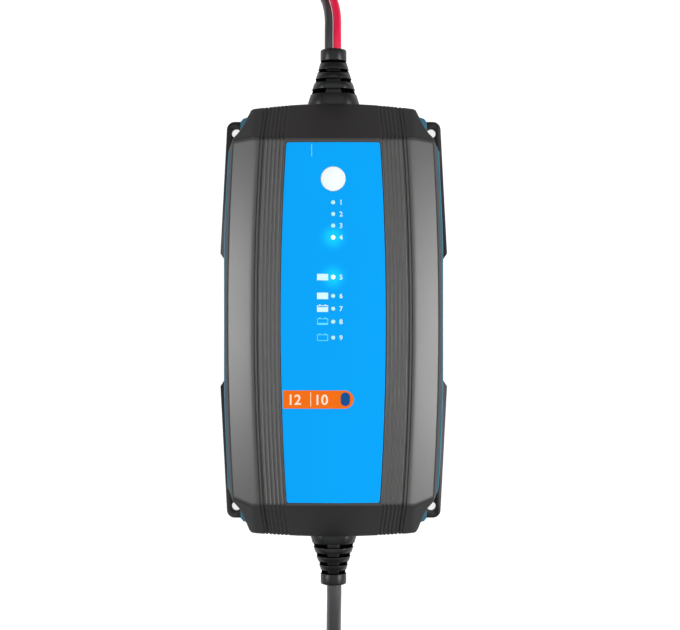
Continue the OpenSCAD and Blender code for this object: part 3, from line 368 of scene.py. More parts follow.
def moulded(name, dark, light, roughness, grain_mm=0.35, grain_depth=0.01, blotch_mm=18,
            coat=0.0, spec=0.5):
    """A moulded or cast surface: fine grain, slow changes of tone and of gloss."""
    made, tree, place = new_material(name)
    blotch = noise(tree, place, blotch_mm, 3)
    return surfaced(made, {
        "Base Color": two_colours(tree, blotch, dark, light),
        "Roughness": spread(tree, blotch, roughness * 0.9, roughness * 1.12),
        "Normal": bump(tree, noise(tree, place, grain_mm), grain_depth),
        "Coat Weight": coat,
        "Specular IOR Level": spec,
    })


def cover_plastic():
    """Graphite moulded plastic: satin on the front, with a fine spark-eroded grain; the bevels and sides
    are darker in painted shade.
    """
    made, tree, place = new_material("graphite_plastic")
    normal = add(tree, "ShaderNodeNewGeometry").outputs["Normal"]
    up = add(tree, "ShaderNodeSeparateXYZ", {"Vector": normal}).outputs["Z"]
    # The front faces are a smoother satin than the bevels and sides; their lighter colour against the
    # bevels' and sides' darker one is painted shade
    front = spread(tree, up, 0, 1, 0.70, 0.86, "SMOOTHSTEP")
    blotch = noise(tree, place, 30, 3)
    # Painted shade: this darker colour goes on the faces that turn away from the front
    dark = two_colours(tree, blotch, "#0f0f10", "#131314")
    satin = two_colours(tree, blotch, "#3f3e3e", "#474645")
    gloss = spread(tree, blotch, 0.33, 0.39)
    return surfaced(made, {
        "Base Color": two_colours(tree, front, dark, satin),
        "Roughness": add(tree, "ShaderNodeMix", {0: front, 2: 0.7, 3: gloss}, data_type="FLOAT").outputs[0],
        "Normal": bump(tree, noise(tree, place, 0.3, 3), 0.008),
    })


def near_lamps(tree, place, reach_mm):
    """1 at either lit lamp, falling to 0 at reach_mm from it."""
    glows = []
    for y in lit_lamp_ys:
        lamp = (0, y * MM, case_h * MM)
        away = add(tree, "ShaderNodeVectorMath", {0: place, 1: lamp}, operation="DISTANCE")
        glows.append(spread(tree, away.outputs["Value"], 1, 0, 0, reach_mm * MM, "SMOOTHERSTEP"))
    return calculated(tree, "MAXIMUM", *glows)


def label_film():
    """Printed polycarbonate film: even colour, faint orange peel, lit round the two lamps that are on."""
    made, tree, place = new_material("blue_film")
    blotch = noise(tree, place, 40)
    glow = calculated(tree, "POWER", near_lamps(tree, place, 9), 2.0)
    return surfaced(made, {
        "Base Color": two_colours(tree, blotch, "#00a2f6", "#00a7fc"),
        "Roughness": spread(tree, blotch, 0.5, 0.58),
        "Normal": bump(tree, noise(tree, place, 0.6), 0.002),
        "Specular IOR Level": 0.06,
        "Emission Color": linear("#20e6ff"),
        "Emission Strength": spread(tree, glow, 0.0, 0.34),
    })


def lens_plastic():
    """Clear light guides: milky white, two of them lit."""
    made, tree, place = new_material("lens_plastic")
    return surfaced(made, {
        "Base Color": two_colours(tree, noise(tree, place, 0.8), "#a9eef8", "#b6f4fb"),
        "Roughness": 0.3,
        "Emission Color": linear("#dcffff"),
        "Emission Strength": spread(tree, near_lamps(tree, place, 3), 0.0, 1.4),
    })


def wire_jacket(name, dark, light, roughness):
    """Soft extruded vinyl: a smooth skin with a slow waviness."""
    made, tree, place = new_material(name)
    return surfaced(made, {
        "Base Color": two_colours(tree, noise(tree, place, 14), dark, light),
        "Roughness": roughness,
        "Coat Weight": 0.15,
        "Normal": bump(tree, noise(tree, place, 5, 1), 0.05),
    })


def metal(name, dark, light, roughness, line_mm=0.25, stretch=12, depth=0.004):
    """Drawn or rolled metal, with fine lines along Y."""
    made, tree, place = new_material(name)
    scaled = add(tree, "ShaderNodeMapping", {"Vector": place, "Scale": (1, 1 / stretch, 1)})
    lines = noise(tree, scaled.outputs["Vector"], line_mm, 3)
    return surfaced(made, {
        "Base Color": two_colours(tree, lines, dark, light),
        "Roughness": spread(tree, lines, roughness * 0.8, roughness * 1.25),
        "Normal": bump(tree, lines, depth),
        "Metallic": 1.0,
    })


MATERIALS = {
    "graphite_abs": cover_plastic(),
    "black_abs": moulded("black_plastic", "#1b1c1d", "#242526", 0.5, 0.4, 0.012),
    "teal_silicone": moulded("teal_silicone", "#1d6482", "#2a7b99", 0.42, 0.5, 0.006, 9),
    "blue_label": label_film(),
    "screw_steel": metal("zinc_steel", "#a7a9ab", "#c3c5c7", 0.32),
    "white_key": moulded("white_key", "#f0fafb", "#f6fdfd", 0.36, 0.5, 0.004, 6),
    "clear_guide": lens_plastic(),
    "board_laminate": moulded("solder_mask", "#12492c", "#1c6840", 0.36, 0.8, 0.01, 6, coat=0.3),
    "lamp_chip": moulded("lamp_resin", "#e8e2bd", "#f5f0d5", 0.25, 0.4, 0.003, 2),
    "switch_plastic": moulded("moulded_epoxy", "#161617", "#222223", 0.6, 0.25, 0.012, 8),
    "switch_stem": moulded("stem_plastic", "#b9b09e", "#cbc2b0", 0.5, 0.3, 0.008, 4),
    "flat_cable": moulded("ribbon_cable", "#c6c6c0", "#dededa", 0.5, 0.6, 0.02, 3),
    "fuse_glass": moulded("fuse_glass", "#bcc6c3", "#d5dddb", 0.15, 0.8, 0.002, 6, coat=0.5),
    "ferrite": moulded("ferrite", "#2e3331", "#3d4340", 0.7, 0.25, 0.02, 8),
    "winding_copper": metal("enamelled_copper", "#9c4f1f", "#c77a3c", 0.28, 0.6, 0.1, 0.08),
    "film_capacitor_yellow": moulded("capacitor_box", "#b98a1c", "#d8a834", 0.38, 0.4, 0.01, 8),
    "capacitor_sleeve": moulded("shrink_sleeve", "#1b2636", "#263447", 0.3, 0.5, 0.006, 6, coat=0.3),
    "heatsink_aluminium": metal("extruded_aluminium", "#9ea1a4", "#bbbec1", 0.36),
    "module_can": metal("tinned_can", "#a2a5a8", "#c2c5c8", 0.3),
    "terminal_green": moulded("terminal_plastic", "#1d4232", "#2b5b46", 0.5, 0.4, 0.01, 6),
    "wire_black": wire_jacket("black_wire_vinyl", "#353537", "#3f3f41", 0.36),
    "wire_red": wire_jacket("red_wire_vinyl", "#ec0e44", "#f21a50", 0.4),
    "tie_black": moulded("tie_strap", "#141415", "#1d1d1e", 0.42, 0.3, 0.006, 5),
    "clamp_black": wire_jacket("black_clamp_vinyl", "#1c1c1e", "#28282a", 0.42),
    "clamp_red": wire_jacket("red_clamp_vinyl", "#cc1230", "#dc1f3e", 0.42),
    "pin_steel": metal("nickel_pin", "#c0bfbb", "#d8d7d3", 0.18, 0.3, 20, 0.002),
    "spring_steel": metal("spring_wire", "#8b8d90", "#aeb0b2", 0.3),
    "contact_copper": metal("copper_plate", "#a85f34", "#cc8552", 0.3, 0.4, 8),
    "cable_grey": wire_jacket("grey_cable_vinyl", "#393a3c", "#444547", 0.44),
    "plug_black": moulded("plug_rubber", "#19191b", "#232325", 0.52, 0.35, 0.012),
    "earth_brass": metal("brass_strip", "#a98a45", "#cdb068", 0.3),
}


def finish(piece, slot, body="housing", material=None):
    """Gives a piece its material slot, that slot's finish or another, and the body that it rides on."""
    piece.data.materials.clear()
    piece.data.materials.append(material or MATERIALS[slot])
    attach(piece, body)
    return piece


# ---- Mesh helpers ----
def mesh_piece(name, vertices, faces, smooth=True):
    """An object from vertices in millimetres."""
    data = bpy.data.meshes.new(name)
    data.from_pydata([tuple(np.array(v) * MM) for v in vertices], [], [tuple(map(int, f)) for f in faces])
    data.polygons.foreach_set("use_smooth", [smooth] * len(data.polygons))
    data.update()
    return linked(name, data)


def remade(data, *changes):
    """Makes changes to a mesh, each a function of its bmesh, and turns all faces outward."""
    work = bmesh.new()
    work.from_mesh(data)
    for change in changes:
        change(work)
    bmesh.ops.recalc_face_normals(work, faces=work.faces)
    work.to_mesh(data)
    work.free()


def seams_merged(work):
    bmesh.ops.remove_doubles(work, verts=work.verts, dist=1e-6)


def flats_joined(work):
    bmesh.ops.dissolve_limit(
        work, angle_limit=radians(0.5), verts=work.verts, edges=work.edges, use_dissolve_boundaries=False
    )


def applied(piece):
    """Turns a piece's modifiers into its own mesh."""
    bpy.context.view_layer.update()
    evaluated = piece.evaluated_get(bpy.context.evaluated_depsgraph_get())
    data = bpy.data.meshes.new_from_object(evaluated)
    piece.modifiers.clear()
    piece.data = data
    return piece


def thickened(piece, thickness):
    """Gives a sheet its thickness, inward from its face."""
    shell = piece.modifiers.new("thickness", "SOLIDIFY")
    shell.thickness = thickness * MM
    shell.offset = -1
    return applied(piece)


def bevelled(piece, width, segments, angle):
    """Adds the modifier that rounds a piece's edges."""
    bevel = piece.modifiers.new("edges", "BEVEL")
    bevel.width = width * MM
    bevel.segments = segments
    bevel.limit_method = "ANGLE"
    bevel.angle_limit = radians(angle)
    return bevel


def rounded_copy(node, name, width, segments=2, angle=32, changes=()):
    """A copy of a CAD node with its seams merged, its mesh changed and its edges rounded."""
    data = frame["nodes"][node].data.copy()
    data.name = name
    remade(data, seams_merged, *changes, flats_joined)
    piece = linked(name, data)
    bevelled(piece, width, segments, angle).harden_normals = True
    applied(piece)
    piece.data.polygons.foreach_set("use_smooth", [True] * len(piece.data.polygons))
    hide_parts(node)
    return piece


def select_only(*pieces):
    """Selects these pieces and no other, with the first one active."""
    bpy.ops.object.select_all(action="DESELECT")
    for piece in pieces:
        piece.select_set(True)
    bpy.context.view_layer.objects.active = pieces[0]


def joined(name, pieces):
    """Several pieces as one."""
    select_only(*pieces)
    bpy.ops.object.join()
    pieces[0].name = pieces[0].data.name = name
    return pieces[0]


def primitive(maker, place, **settings):
    """A primitive at a place in millimetres, with its transforms applied."""
    bpy.ops.object.select_all(action="DESELECT")
    maker(location=[c * MM for c in place], **settings)
    bpy.ops.object.transform_apply(location=True, rotation=True, scale=True)
    return bpy.context.active_object


def edited(piece):
    """Starts editing a piece with nothing selected."""
    select_only(piece)
    bpy.ops.object.mode_set(mode="EDIT")
    bpy.ops.mesh.select_all(action="DESELECT")


def pick_faces(piece, test):
    """Selects the faces whose middle, in millimetres, and normal pass a test."""
    bpy.ops.mesh.select_mode(type="FACE")
    work = bmesh.from_edit_mesh(piece.data)
    for face in work.faces:
        if test(face.calc_center_median() / MM, face.normal):
            face.select_set(True)
    work.select_flush_mode()
    bmesh.update_edit_mesh(piece.data)


def rounded_edges(piece, width, segments=2, angle=30):
    """Rounds a piece's edges with an applied modifier and shades it smooth."""
    select_only(piece)
    bpy.ops.object.modifier_apply(modifier=bevelled(piece, width, segments, angle).name)
    bpy.ops.object.shade_smooth_by_angle(angle=radians(32))
    return piece


# ---- Cover ----
# The cover's surface is where a field of signed distances is zero. The field joins the same
# faces as the construction does, and rounds the edges between them.
shoulder_x = cover_w / 2 - barrel_sag
shoulder_y = half_l - shoulder_from_end
waist_x = shoulder_x - waist_in
waist_y = shoulder_y + waist_on
arc_x = (shoulder_y ** 2 + barrel_sag ** 2) / (2 * barrel_sag) - cover_w / 2
half_end_w = cover_w / 2 - end_inset
cheek_h = case_h - cheek_drop
shoulder_h = case_h - shoulder_drop
skin_t = 1.6

# Length of the bevel and drop of its upper edge towards the cheeks, by the sign of its end's Y
bevels = {1: (dc_bevel_l, dc_corner_drop), -1: (mains_bevel_l, mains_corner_drop)}

# Radii of the rounded edges
waist_r = 0.8
end_corner_r = 0.5
shoulder_r = 1.0
crown_r = 0.3
cheek_r = 0.55
end_r = 0.9
bevel_r = 0.7


def round_max(a, b, r):
    """The greater of two distances, with a round edge of radius r where they cross."""
    return np.minimum(-r, np.maximum(a, b)) + np.hypot(np.maximum(a + r, 0), np.maximum(b + r, 0))


def right_of(px, py, x1, y1, x2, y2):
    """Distance of a point from the line through points 1 and 2, positive on the line's right."""
    dx, dy = x2 - x1, y2 - y1
    return (dy * (px - x1) - dx * (py - y1)) / np.hypot(dx, dy)


def arc_coordinate(x, y):
    """Distance from the casing's middle at mid length of the arc that runs through a point."""
    return np.sqrt((arc_x + np.abs(x)) ** 2 + y * y) - arc_x


def crown(u):
    """Height of the front at a distance from its middle."""
    return case_h - crown_drop * (u / half_cheek_in) ** 2


def plan_field(x, y):
    """Distance outside the end walls and the corners, seen from above."""
    ax, ay = np.abs(x), np.abs(y)
    arch = np.where(y > 0, end_arch, mains_end_arch)
    half_w = np.where(y > 0, half_end_w, half_end_w + mains_end_wider)
    end = ay - (half_l - arch * (ax / half_w) ** 2)
    shoulder = right_of(ax, ay, shoulder_x, shoulder_y, waist_x, waist_y)
    neck = right_of(ax, ay, waist_x, waist_y, half_w, half_l - arch)
    return round_max(end, -round_max(-shoulder, -neck, waist_r), end_corner_r)


def bevel_field(x, y, z, sign):
    """Distance above the bevel at one end."""
    run, corner_drop = bevels[sign]
    slope = atan(bevel_fall / run)
    ax = np.abs(x)
    middle = -crown_drop * (ax / half_cheek_in) ** 2
    outer = -crown_drop - (cheek_drop + corner_drop - crown_drop) * (ax - half_cheek_in) / cheek_w
    lateral = np.where(ax < half_cheek_in, middle, outer) * cos(slope)
    return (sign * y - (half_l - run)) * sin(slope) + (z - case_h) * cos(slope) - lateral


def plain_field(x, y, z):
    """Distance outside the cover before its grooves are cut."""
    u = arc_coordinate(x, y)
    lean = right_of(u, z, cover_w / 2, shoulder_h, half_cheek_out, cheek_h)
    sides = round_max(u - cover_w / 2, lean, shoulder_r)
    across = (2 * u - half_cheek_out - half_cheek_in) / cheek_w
    cheek = right_of(u, z, half_cheek_out, cheek_h, half_cheek_in, crown(half_cheek_in))
    cheek = cheek - cheek_bulge * np.clip(1 - across ** 2, 0, 1)
    front = round_max(cheek, z - crown(u), crown_r)
    body = round_max(round_max(sides, front, cheek_r), plan_field(x, y), end_r)
    for sign in bevels:
        body = round_max(body, bevel_field(x, y, z, sign), bevel_r)
    return body


def groove(u, middle, width, lip):
    """1 in a groove's floor, falling to 0 over its rounded lips."""
    t = np.clip((width / 2 + lip / 2 - np.abs(u - middle)) / lip, 0, 1)
    return t * t * (3 - 2 * t)


# Fine grooves across the front as (middle, width, lip, depth): soft flutes beside the label,
# then a deeper line and a narrow one that frame the cheek
flute_lip = 0.5
border_lip = 0.25
first_flute = half_label_w + label_gap + 1
grooves = [(first_flute + i * flute_pitch, flute_w, flute_lip, flute_depth) for i in range(flute_n)]
grooves += [
    (half_cheek_in - border_inset - border_pitch, border_w, border_lip, border_depth),
    (half_cheek_in - border_inset, border_w * 0.6, border_lip, border_depth * 0.7),
]

# Depths below the front at which the grooves turn fainter, over the bevels, and end
faint_drop, faint_run = 2.6, 2
foot_drop, foot_run = 26, 3
dc_faintness, mains_faintness = 0.45, 0.1
recess_lip = 0.15
under_label = 0.1


def cut_depth(x, y, z):
    """How deep the grooves and the label's recess are cut."""
    u = arc_coordinate(x, y)
    lines = np.zeros_like(u)
    for middle, width, lip, depth in grooves:
        lines = np.maximum(lines, depth * groove(u, middle, width, lip))
    on_bevel = np.clip((case_h - faint_drop - z) / faint_run, 0, 1)
    lines = lines * (1 - on_bevel * np.where(y > 0, dc_faintness, mains_faintness))
    lines = lines * np.clip((z - (case_h - foot_drop)) / foot_run, 0, 1)
    inside_u = np.clip((half_label_w + label_gap - u) / recess_lip, 0, 1)
    inside_y = np.clip((half_label_l + label_gap - np.abs(y + label_shift)) / recess_lip, 0, 1)
    return np.maximum(lines, (label_t + under_label) * inside_u * inside_y)


def cover_field(x, y, z):
    return plain_field(x, y, z) + cut_depth(x, y, z)


def solve(field, shape, low, high, rounds=34):
    """Where a field that grows from low to high is zero, for each place of an array of this shape."""
    low = np.full(shape, float(low))
    high = np.full(shape, float(high))
    for _ in range(rounds):
        middle = (low + high) / 2
        out = field(middle) > 0
        high = np.where(out, middle, high)
        low = np.where(out, low, middle)
    return (low + high) / 2


def on_arc(u, y):
    """The place across the casing, at y, of the arc through u at mid length.

    Arcs under the label close up evenly.
    """
    reach = np.maximum(np.abs(u), half_label_w)
    edge = np.sqrt((arc_x + reach) ** 2 - y * y) - arc_x
    return np.sign(u) * edge * np.minimum(np.abs(u) / half_label_w, 1)


def refine(stops, gaps):
    """Values from the first stop to the last, gaps[i] apart at most between stops i and i + 1."""
    values = []
    for low, high, gap in zip(stops, stops[1:], gaps):
        values.extend(np.linspace(low, high, max(1, int(ceil((high - low) / gap))), endpoint=False))
    return np.array(values + [stops[-1]])


def groove_stops():
    """Column places on the positive side: close together at groove lips, wider between them."""
    stops = [0.0, half_label_w - 0.3, half_label_w + label_gap + 0.3]
    gaps = [2.2, 0.1]
    for middle, width, lip, _ in grooves:
        edge = width / 2 + lip / 2 + 0.02
        half = min(edge, lip + 0.04)
        stops += [middle - edge, middle - edge + half, middle + edge - half, middle + edge]
        gaps += [0.6, 0.09, 0.3, 0.09]
    stops += [half_cheek_in + 0.6, half_cheek_out - 2.2, half_cheek_out - 0.9]
    gaps += [0.15, 1.0, 0.35]
    return refine(stops, gaps)


def ridge_height(x, y):
    """Height of the crown and the cheeks, where a bevel's upper crease lies."""
    u = arc_coordinate(x, y)
    slant = crown(half_cheek_in) - (u - half_cheek_in) * (crown(half_cheek_in) - cheek_h) / cheek_w
    return np.where(u < half_cheek_in, crown(u), slant)


# The grid's edge lies where the end's rounding starts, and a crease at least this far from the end
least_bevel = 2.4


def end_lines(u, sign):
    """How far from the middle one end's edge and its bevel's upper crease lie, for each column."""
    def above_bevel(y):
        x = on_arc(u, y)
        return bevel_field(x, sign * y, ridge_height(x, y), sign)

    reach = half_l + 3
    edge = solve(lambda y: plan_field(on_arc(u, y), sign * y), u.shape, 0, reach)
    crease = solve(above_bevel, u.shape, 0, reach)
    return edge - end_r, np.minimum(crease, edge - least_bevel)


# Distances from a crease of the rows beside it, and the number of rows from there to the edge
beside_crease = np.array([0.25, 0.55, 0.95, 1.5])
bevel_rows = 17


def end_rows(edge, crease):
    """Rows from inside a crease out to the end's edge."""
    rows = [crease - d for d in beside_crease[::-1]] + [crease] + [crease + d for d in beside_crease]
    start = rows[-1]
    return rows + [start + (edge - start) * share for share in np.linspace(0, 1, bevel_rows + 1)[1:]]


def cover_sheet():
    """The cover's front and bevels as a grid of places."""
    right = groove_stops()
    u = np.concatenate([-right[:0:-1], right])[None, :]
    far_rows = end_rows(*end_lines(u, 1))
    near_rows = [-row for row in reversed(end_rows(*end_lines(u, -1)))]
    start, stop = near_rows[-1], far_rows[0]
    shares = refine([0, 0.012, 0.06, 0.94, 0.988, 1], [0.0012, 0.008, 0.03, 0.008, 0.0012])[1:-1]
    y = np.vstack(near_rows + [start + (stop - start) * share for share in shares] + far_rows)
    x = on_arc(np.broadcast_to(u, y.shape), y)
    z = solve(lambda z: cover_field(x, y, z), x.shape, seam_z, case_h + 2)
    return np.dstack([x, y, z])


def ring_order(rows, columns):
    """Grid places round the edge of a grid, counterclockwise from above."""
    bottom = [(0, j) for j in range(columns)]
    right = [(i, columns - 1) for i in range(1, rows)]
    top = [(rows - 1, j) for j in range(columns - 2, -1, -1)]
    left = [(i, 0) for i in range(rows - 2, 0, -1)]
    return bottom + right + top + left


# Drops of the first rings below the grid's edge, and the number of even rings from there to the seam
ring_drops = (0.12, 0.3, 0.55, 0.9, 1.4, 2.1)
even_rings = 15
foot_z = seam_z + 0.05

# A ring's place is looked for from this far inside the grid's edge, over this length
search_in = 8
search_l = 26


def cover_piece():
    """The grid, open at the key, with rings from its edge down to the seam."""
    grid = cover_sheet()
    rows, columns, _ = grid.shape
    vertices = list(grid.reshape(-1, 3))
    faces = []
    in_hole = np.hypot(grid[..., 0], grid[..., 1] - button_y) < button_r + 0.5
    for i in range(rows - 1):
        for j in range(columns - 1):
            if not in_hole[i:i + 2, j:j + 2].any():
                a = i * columns + j
                faces.append((a, a + 1, a + columns + 1, a + columns))
    order = ring_order(rows, columns)
    edge = np.array([grid[i, j] for i, j in order])
    # Outward direction in plan of each place on the edge
    way = np.array([((j == columns - 1) - (j == 0), (i == rows - 1) - (i == 0)) for i, j in order], float)
    way /= np.linalg.norm(way, axis=1)[:, None]
    levels = [edge[:, 2] - drop for drop in ring_drops]
    start = levels[-1]
    levels += [start + (foot_z - start) * share for share in np.linspace(0, 1, even_rings + 1)[1:]]
    inner = edge[:, :2] - search_in * way
    previous = [i * columns + j for i, j in order]
    for level in levels:
        out = solve(
            lambda t: cover_field(inner[:, 0] + t * way[:, 0], inner[:, 1] + t * way[:, 1], level),
            len(order), 0, search_l,
        )
        current = list(range(len(vertices), len(vertices) + len(order)))
        vertices.extend(np.column_stack([inner + out[:, None] * way, level]))
        for k in range(len(order)):
            n = (k + 1) % len(order)
            faces.append((previous[k], current[k], current[n], previous[n]))
        previous = current
    return thickened(mesh_piece("cover_skin", vertices, faces), skin_t)


cover = finish(cover_piece(), "graphite_abs")
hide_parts("top_cover")


# ---- Label ----
def drape_height(x, y):
    return crown(arc_coordinate(x, y))


def divided(loop, longest):
    """A closed loop of points with its longer edges divided, so that they can follow a curved face."""
    points = []
    for p, q in zip(loop, np.roll(loop, -1, axis=0)):
        count = max(1, int(ceil(np.linalg.norm(q - p) / longest)))
        points.extend(p + (q - p) * k / count for k in range(count))
    return np.array(points)


def is_inside(p, loop):
    """Whether a closed loop of points goes round a point."""
    rel = loop - p
    after = np.roll(rel, -1, axis=0)
    turns = np.arctan2(rel[:, 0] * after[:, 1] - rel[:, 1] * after[:, 0], (rel * after).sum(axis=1))
    return abs(turns.sum()) > pi


def sheet_piece(name, outline, holes, low, high, spacing=2.5):
    """A thin sheet that follows the front, from low to high above it, with an outline and holes."""
    loops = [divided(np.array(loop, float), spacing) for loop in [outline, *holes]]
    points, edges = [], []
    for loop in loops:
        base = len(points)
        points.extend(map(tuple, loop))
        edges.extend((base + k, base + (k + 1) % len(loop)) for k in range(len(loop)))
    low_x, low_y = loops[0].min(axis=0)
    high_x, high_y = loops[0].max(axis=0)
    for px in np.arange(low_x + spacing / 2, high_x, spacing):
        for py in np.arange(low_y + spacing / 2, high_y, spacing):
            if min(np.hypot(*(loop - (px, py)).T).min() for loop in loops) > spacing * 0.35:
                points.append((px, py))
    made = delaunay_2d_cdt([Vector(p) for p in points], edges, [], 0, 1e-5)
    flat = np.array([tuple(v) for v in made[0]])
    kept = []
    for face in made[2]:
        middle = flat[list(face)].mean(axis=0)
        if is_inside(middle, loops[0]) and not any(is_inside(middle, hole) for hole in loops[1:]):
            kept.append(face)
    vertices = np.column_stack([flat, drape_height(flat[:, 0], flat[:, 1]) + high])
    piece = thickened(mesh_piece(name, vertices, kept, smooth=False), high - low)
    remade(piece.data)
    return piece


def circle(cx, cy, r, count):
    return [(cx + r * cos(2 * pi * k / count), cy + r * sin(2 * pi * k / count)) for k in range(count)]


def rounded_rectangle(x0, y0, x1, y1, radii, count=5):
    """Points that go round counterclockwise, with a radius for each corner from the lower left."""
    corners = [(x0, y0, 1, 1, 180), (x1, y0, -1, 1, 270), (x1, y1, -1, -1, 0), (x0, y1, 1, -1, 90)]
    points = []
    for (cx, cy, sx, sy, first), r in zip(corners, radii):
        for k in range(count + 1 if r > 0 else 1):
            a = radians(first + 90 * k / count)
            points.append((cx + sx * r + r * cos(a), cy + sy * r + r * sin(a)))
    return points


def label_outline(steps=39):
    """The label's long edges follow the same arcs as the flutes."""
    low, high = -half_label_l - label_shift, half_label_l - label_shift
    base = rounded_rectangle(-half_label_w, low, half_label_w, high, [1.0] * 4)
    points = []
    for (x, y), (_, next_y) in zip(base, base[1:] + base[:1]):
        count = steps if abs(next_y - y) > half_label_l else 1
        for k in range(count):
            along = y + (next_y - y) * k / count
            points.append((float(on_arc(x, along)), along))
    return points


label_holes = [circle(0, button_y, button_r + 0.06, 64)]
label_holes += [circle(0, y, lamp_r + 0.12, 24) for y in lamp_ys]
label = sheet_piece("label_film", label_outline(), label_holes, -label_t + 0.05, 0, 3)
finish(label, "blue_label")
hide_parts("front_label")


# ---- Print on the label ----
# Heights of the ink's lower and upper face above the film, on the film itself and on the tab
on_film = (-0.03, 0.05)
on_tab = (0.03, 0.10)

# A numeral's height as a share of its font's size, and how much its strokes are widened
numeral_share = 0.69
stroke_share = 0.025


def printed(name, outlines, colour, layer=on_film):
    """A patch of ink from one or more outlines."""
    patches = [sheet_piece(name, outline, [], *layer) for outline in outlines]
    return finish(joined(name, patches), "blue_label", material=colour)


def numeral(name, text, x, y, height, colour, layer=on_film):
    """Plain numerals, from their lower left corner."""
    bpy.ops.object.select_all(action="DESELECT")
    bpy.ops.object.text_add(location=(x * MM, y * MM, 0))
    piece = bpy.context.active_object
    piece.data.body = text
    piece.data.size = height / numeral_share * MM
    piece.data.extrude = (layer[1] - layer[0]) / 2 * MM
    piece.data.offset = height * stroke_share * MM
    piece.data.resolution_u = 4
    bpy.ops.object.convert(target="MESH")
    bpy.ops.object.transform_apply(location=True, rotation=True, scale=True)
    piece.name = piece.data.name = name
    for v in piece.data.vertices:
        side = layer[1] if v.co.z > 0 else layer[0]
        v.co.z = (drape_height(v.co.x / MM, v.co.y / MM) + side) * MM
    remade(piece.data, seams_merged)
    return finish(piece, "blue_label", material=colour)


def ink(name, dark, light):
    """Screen-printed ink: matt, very thin, with hardly any change of tone."""
    return moulded(name, dark, light, 0.55, 0.5, 0.001, 6, spec=0.1)


white_ink = ink("white_ink", "#d2f9fd", "#ddfbfe")
pale_ink = ink("pale_blue_ink", "#5fdcf8", "#6ce2fb")
orange_ink = ink("orange_ink", "#f06a08", "#f5720f")
cream_ink = ink("cream_ink", "#ffe0c4", "#ffead6")
navy_ink = ink("navy_ink", "#0d4b88", "#115190")

# Orange tab from the label's left edge, with a dark pill at its round end
tab_low, tab_high, tab_right = -37.5, -29.8, 8.7
tab_left = -float(on_arc(half_label_w - 0.4, tab_low))
tab_r = (tab_high - tab_low) / 2
tab = rounded_rectangle(tab_left, tab_low, tab_right, tab_high, [0, tab_r, tab_r, 0], 10)
square = [0] * 4
printed("orange_tab", [tab], orange_ink)
printed("navy_pill", [rounded_rectangle(3.2, -36.4, 7.1, -30.6, [1.9] * 4, 8)], navy_ink, on_tab)
printed("tab_line", [rounded_rectangle(-9.7, -36.7, -9.4, -30.6, square)], cream_ink, on_tab)
for side, text, x in (("left", "12", -19.6), ("right", "10", -8.2)):
    numeral(f"tab_numerals_{side}", text, x, -35.8, 4.2, cream_ink, on_tab)

printed("head_line", [rounded_rectangle(-9.25, 69.4, -8.95, 74.6, square)], pale_ink)
lamp_numeral_h = 2.0
for i, y in enumerate(lamp_ys):
    numeral(f"lamp_numeral_{i + 1}", str(i + 1), 2.6, y - lamp_numeral_h / 2, lamp_numeral_h, white_ink)

# A small battery beside each charge lamp, filled to a lower level from lamp to lamp
battery_x, battery_w, battery_h, battery_line = -6.85, 4.7, 2.75, 0.3
pole_inset, pole_w, pole_h, pole_sink = 0.8, 0.7, 0.35, 0.05
for i, (y, level) in enumerate(zip(lamp_ys[4:], (1, 1, 0.72, 0.3, 0.0))):
    x0, y0 = battery_x, y - battery_h / 2
    x1, y1 = x0 + battery_w, y0 + battery_h
    boxes = []
    if level < 1:
        poles = (x0 + pole_inset, x1 - pole_inset - pole_w)
        boxes += [(x, y1 - pole_sink, x + pole_w, y1 + pole_h) for x in poles]
        boxes.append((x0, y1 - battery_line, x1, y1))
        boxes += [(x, y0, x + battery_line, y1) for x in (x0, x1 - battery_line)]
    boxes.append((x0, y0, x1, y0 + max(battery_line, level * battery_h)))
    outlines = [rounded_rectangle(*box, square) for box in boxes]
    printed(f"battery_mark_{i + 1}", outlines, white_ink if level > 0.5 else pale_ink)


# ---- Turned pieces ----
def turned(name, profile, x, z, sides=64):
    """A form about a line along Y: a disc drawn out through (place, half width, half height)."""
    y, w, h = profile[0]
    piece = primitive(
        bpy.ops.mesh.primitive_circle_add, (x, y, z),
        vertices=sides, radius=MM, fill_type="NGON", rotation=(pi / 2, 0, 0),
    )
    piece.name = piece.data.name = name
    bpy.ops.object.mode_set(mode="EDIT")
    bpy.ops.mesh.select_all(action="SELECT")
    bpy.ops.transform.resize(value=(w, 1, h), center_override=(x * MM, y * MM, z * MM))
    for next_y, next_w, next_h in profile[1:]:
        bpy.ops.mesh.extrude_region_move(TRANSFORM_OT_translate={"value": (0, (next_y - y) * MM, 0)})
        bpy.ops.transform.resize(
            value=(next_w / w, 1, next_h / h), center_override=(x * MM, next_y * MM, z * MM)
        )
        y, w, h = next_y, next_w, next_h
    bpy.ops.mesh.select_all(action="SELECT")
    bpy.ops.mesh.normals_make_consistent(inside=False)
    bpy.ops.object.mode_set(mode="OBJECT")
    return piece


# ---- Strain reliefs ----
relief_half_h = 7.6
relief_round_h = 8.6
slot_floor_h = 2.2
slot_floor_in = 0.4
slot_lip = 0.01
relief_rubber = moulded("black_relief_rubber", "#0e0f10", "#151617", 0.4, 0.3, 0.004, 8, spec=0.33)

# The slots' walls and floors are rough and dull, and their nearly black colour is painted shade
slot_rubber = moulded("slot_shade_rubber", "#030303", "#060606", 0.9, 0.3, 0.01, 8, spec=0.02)


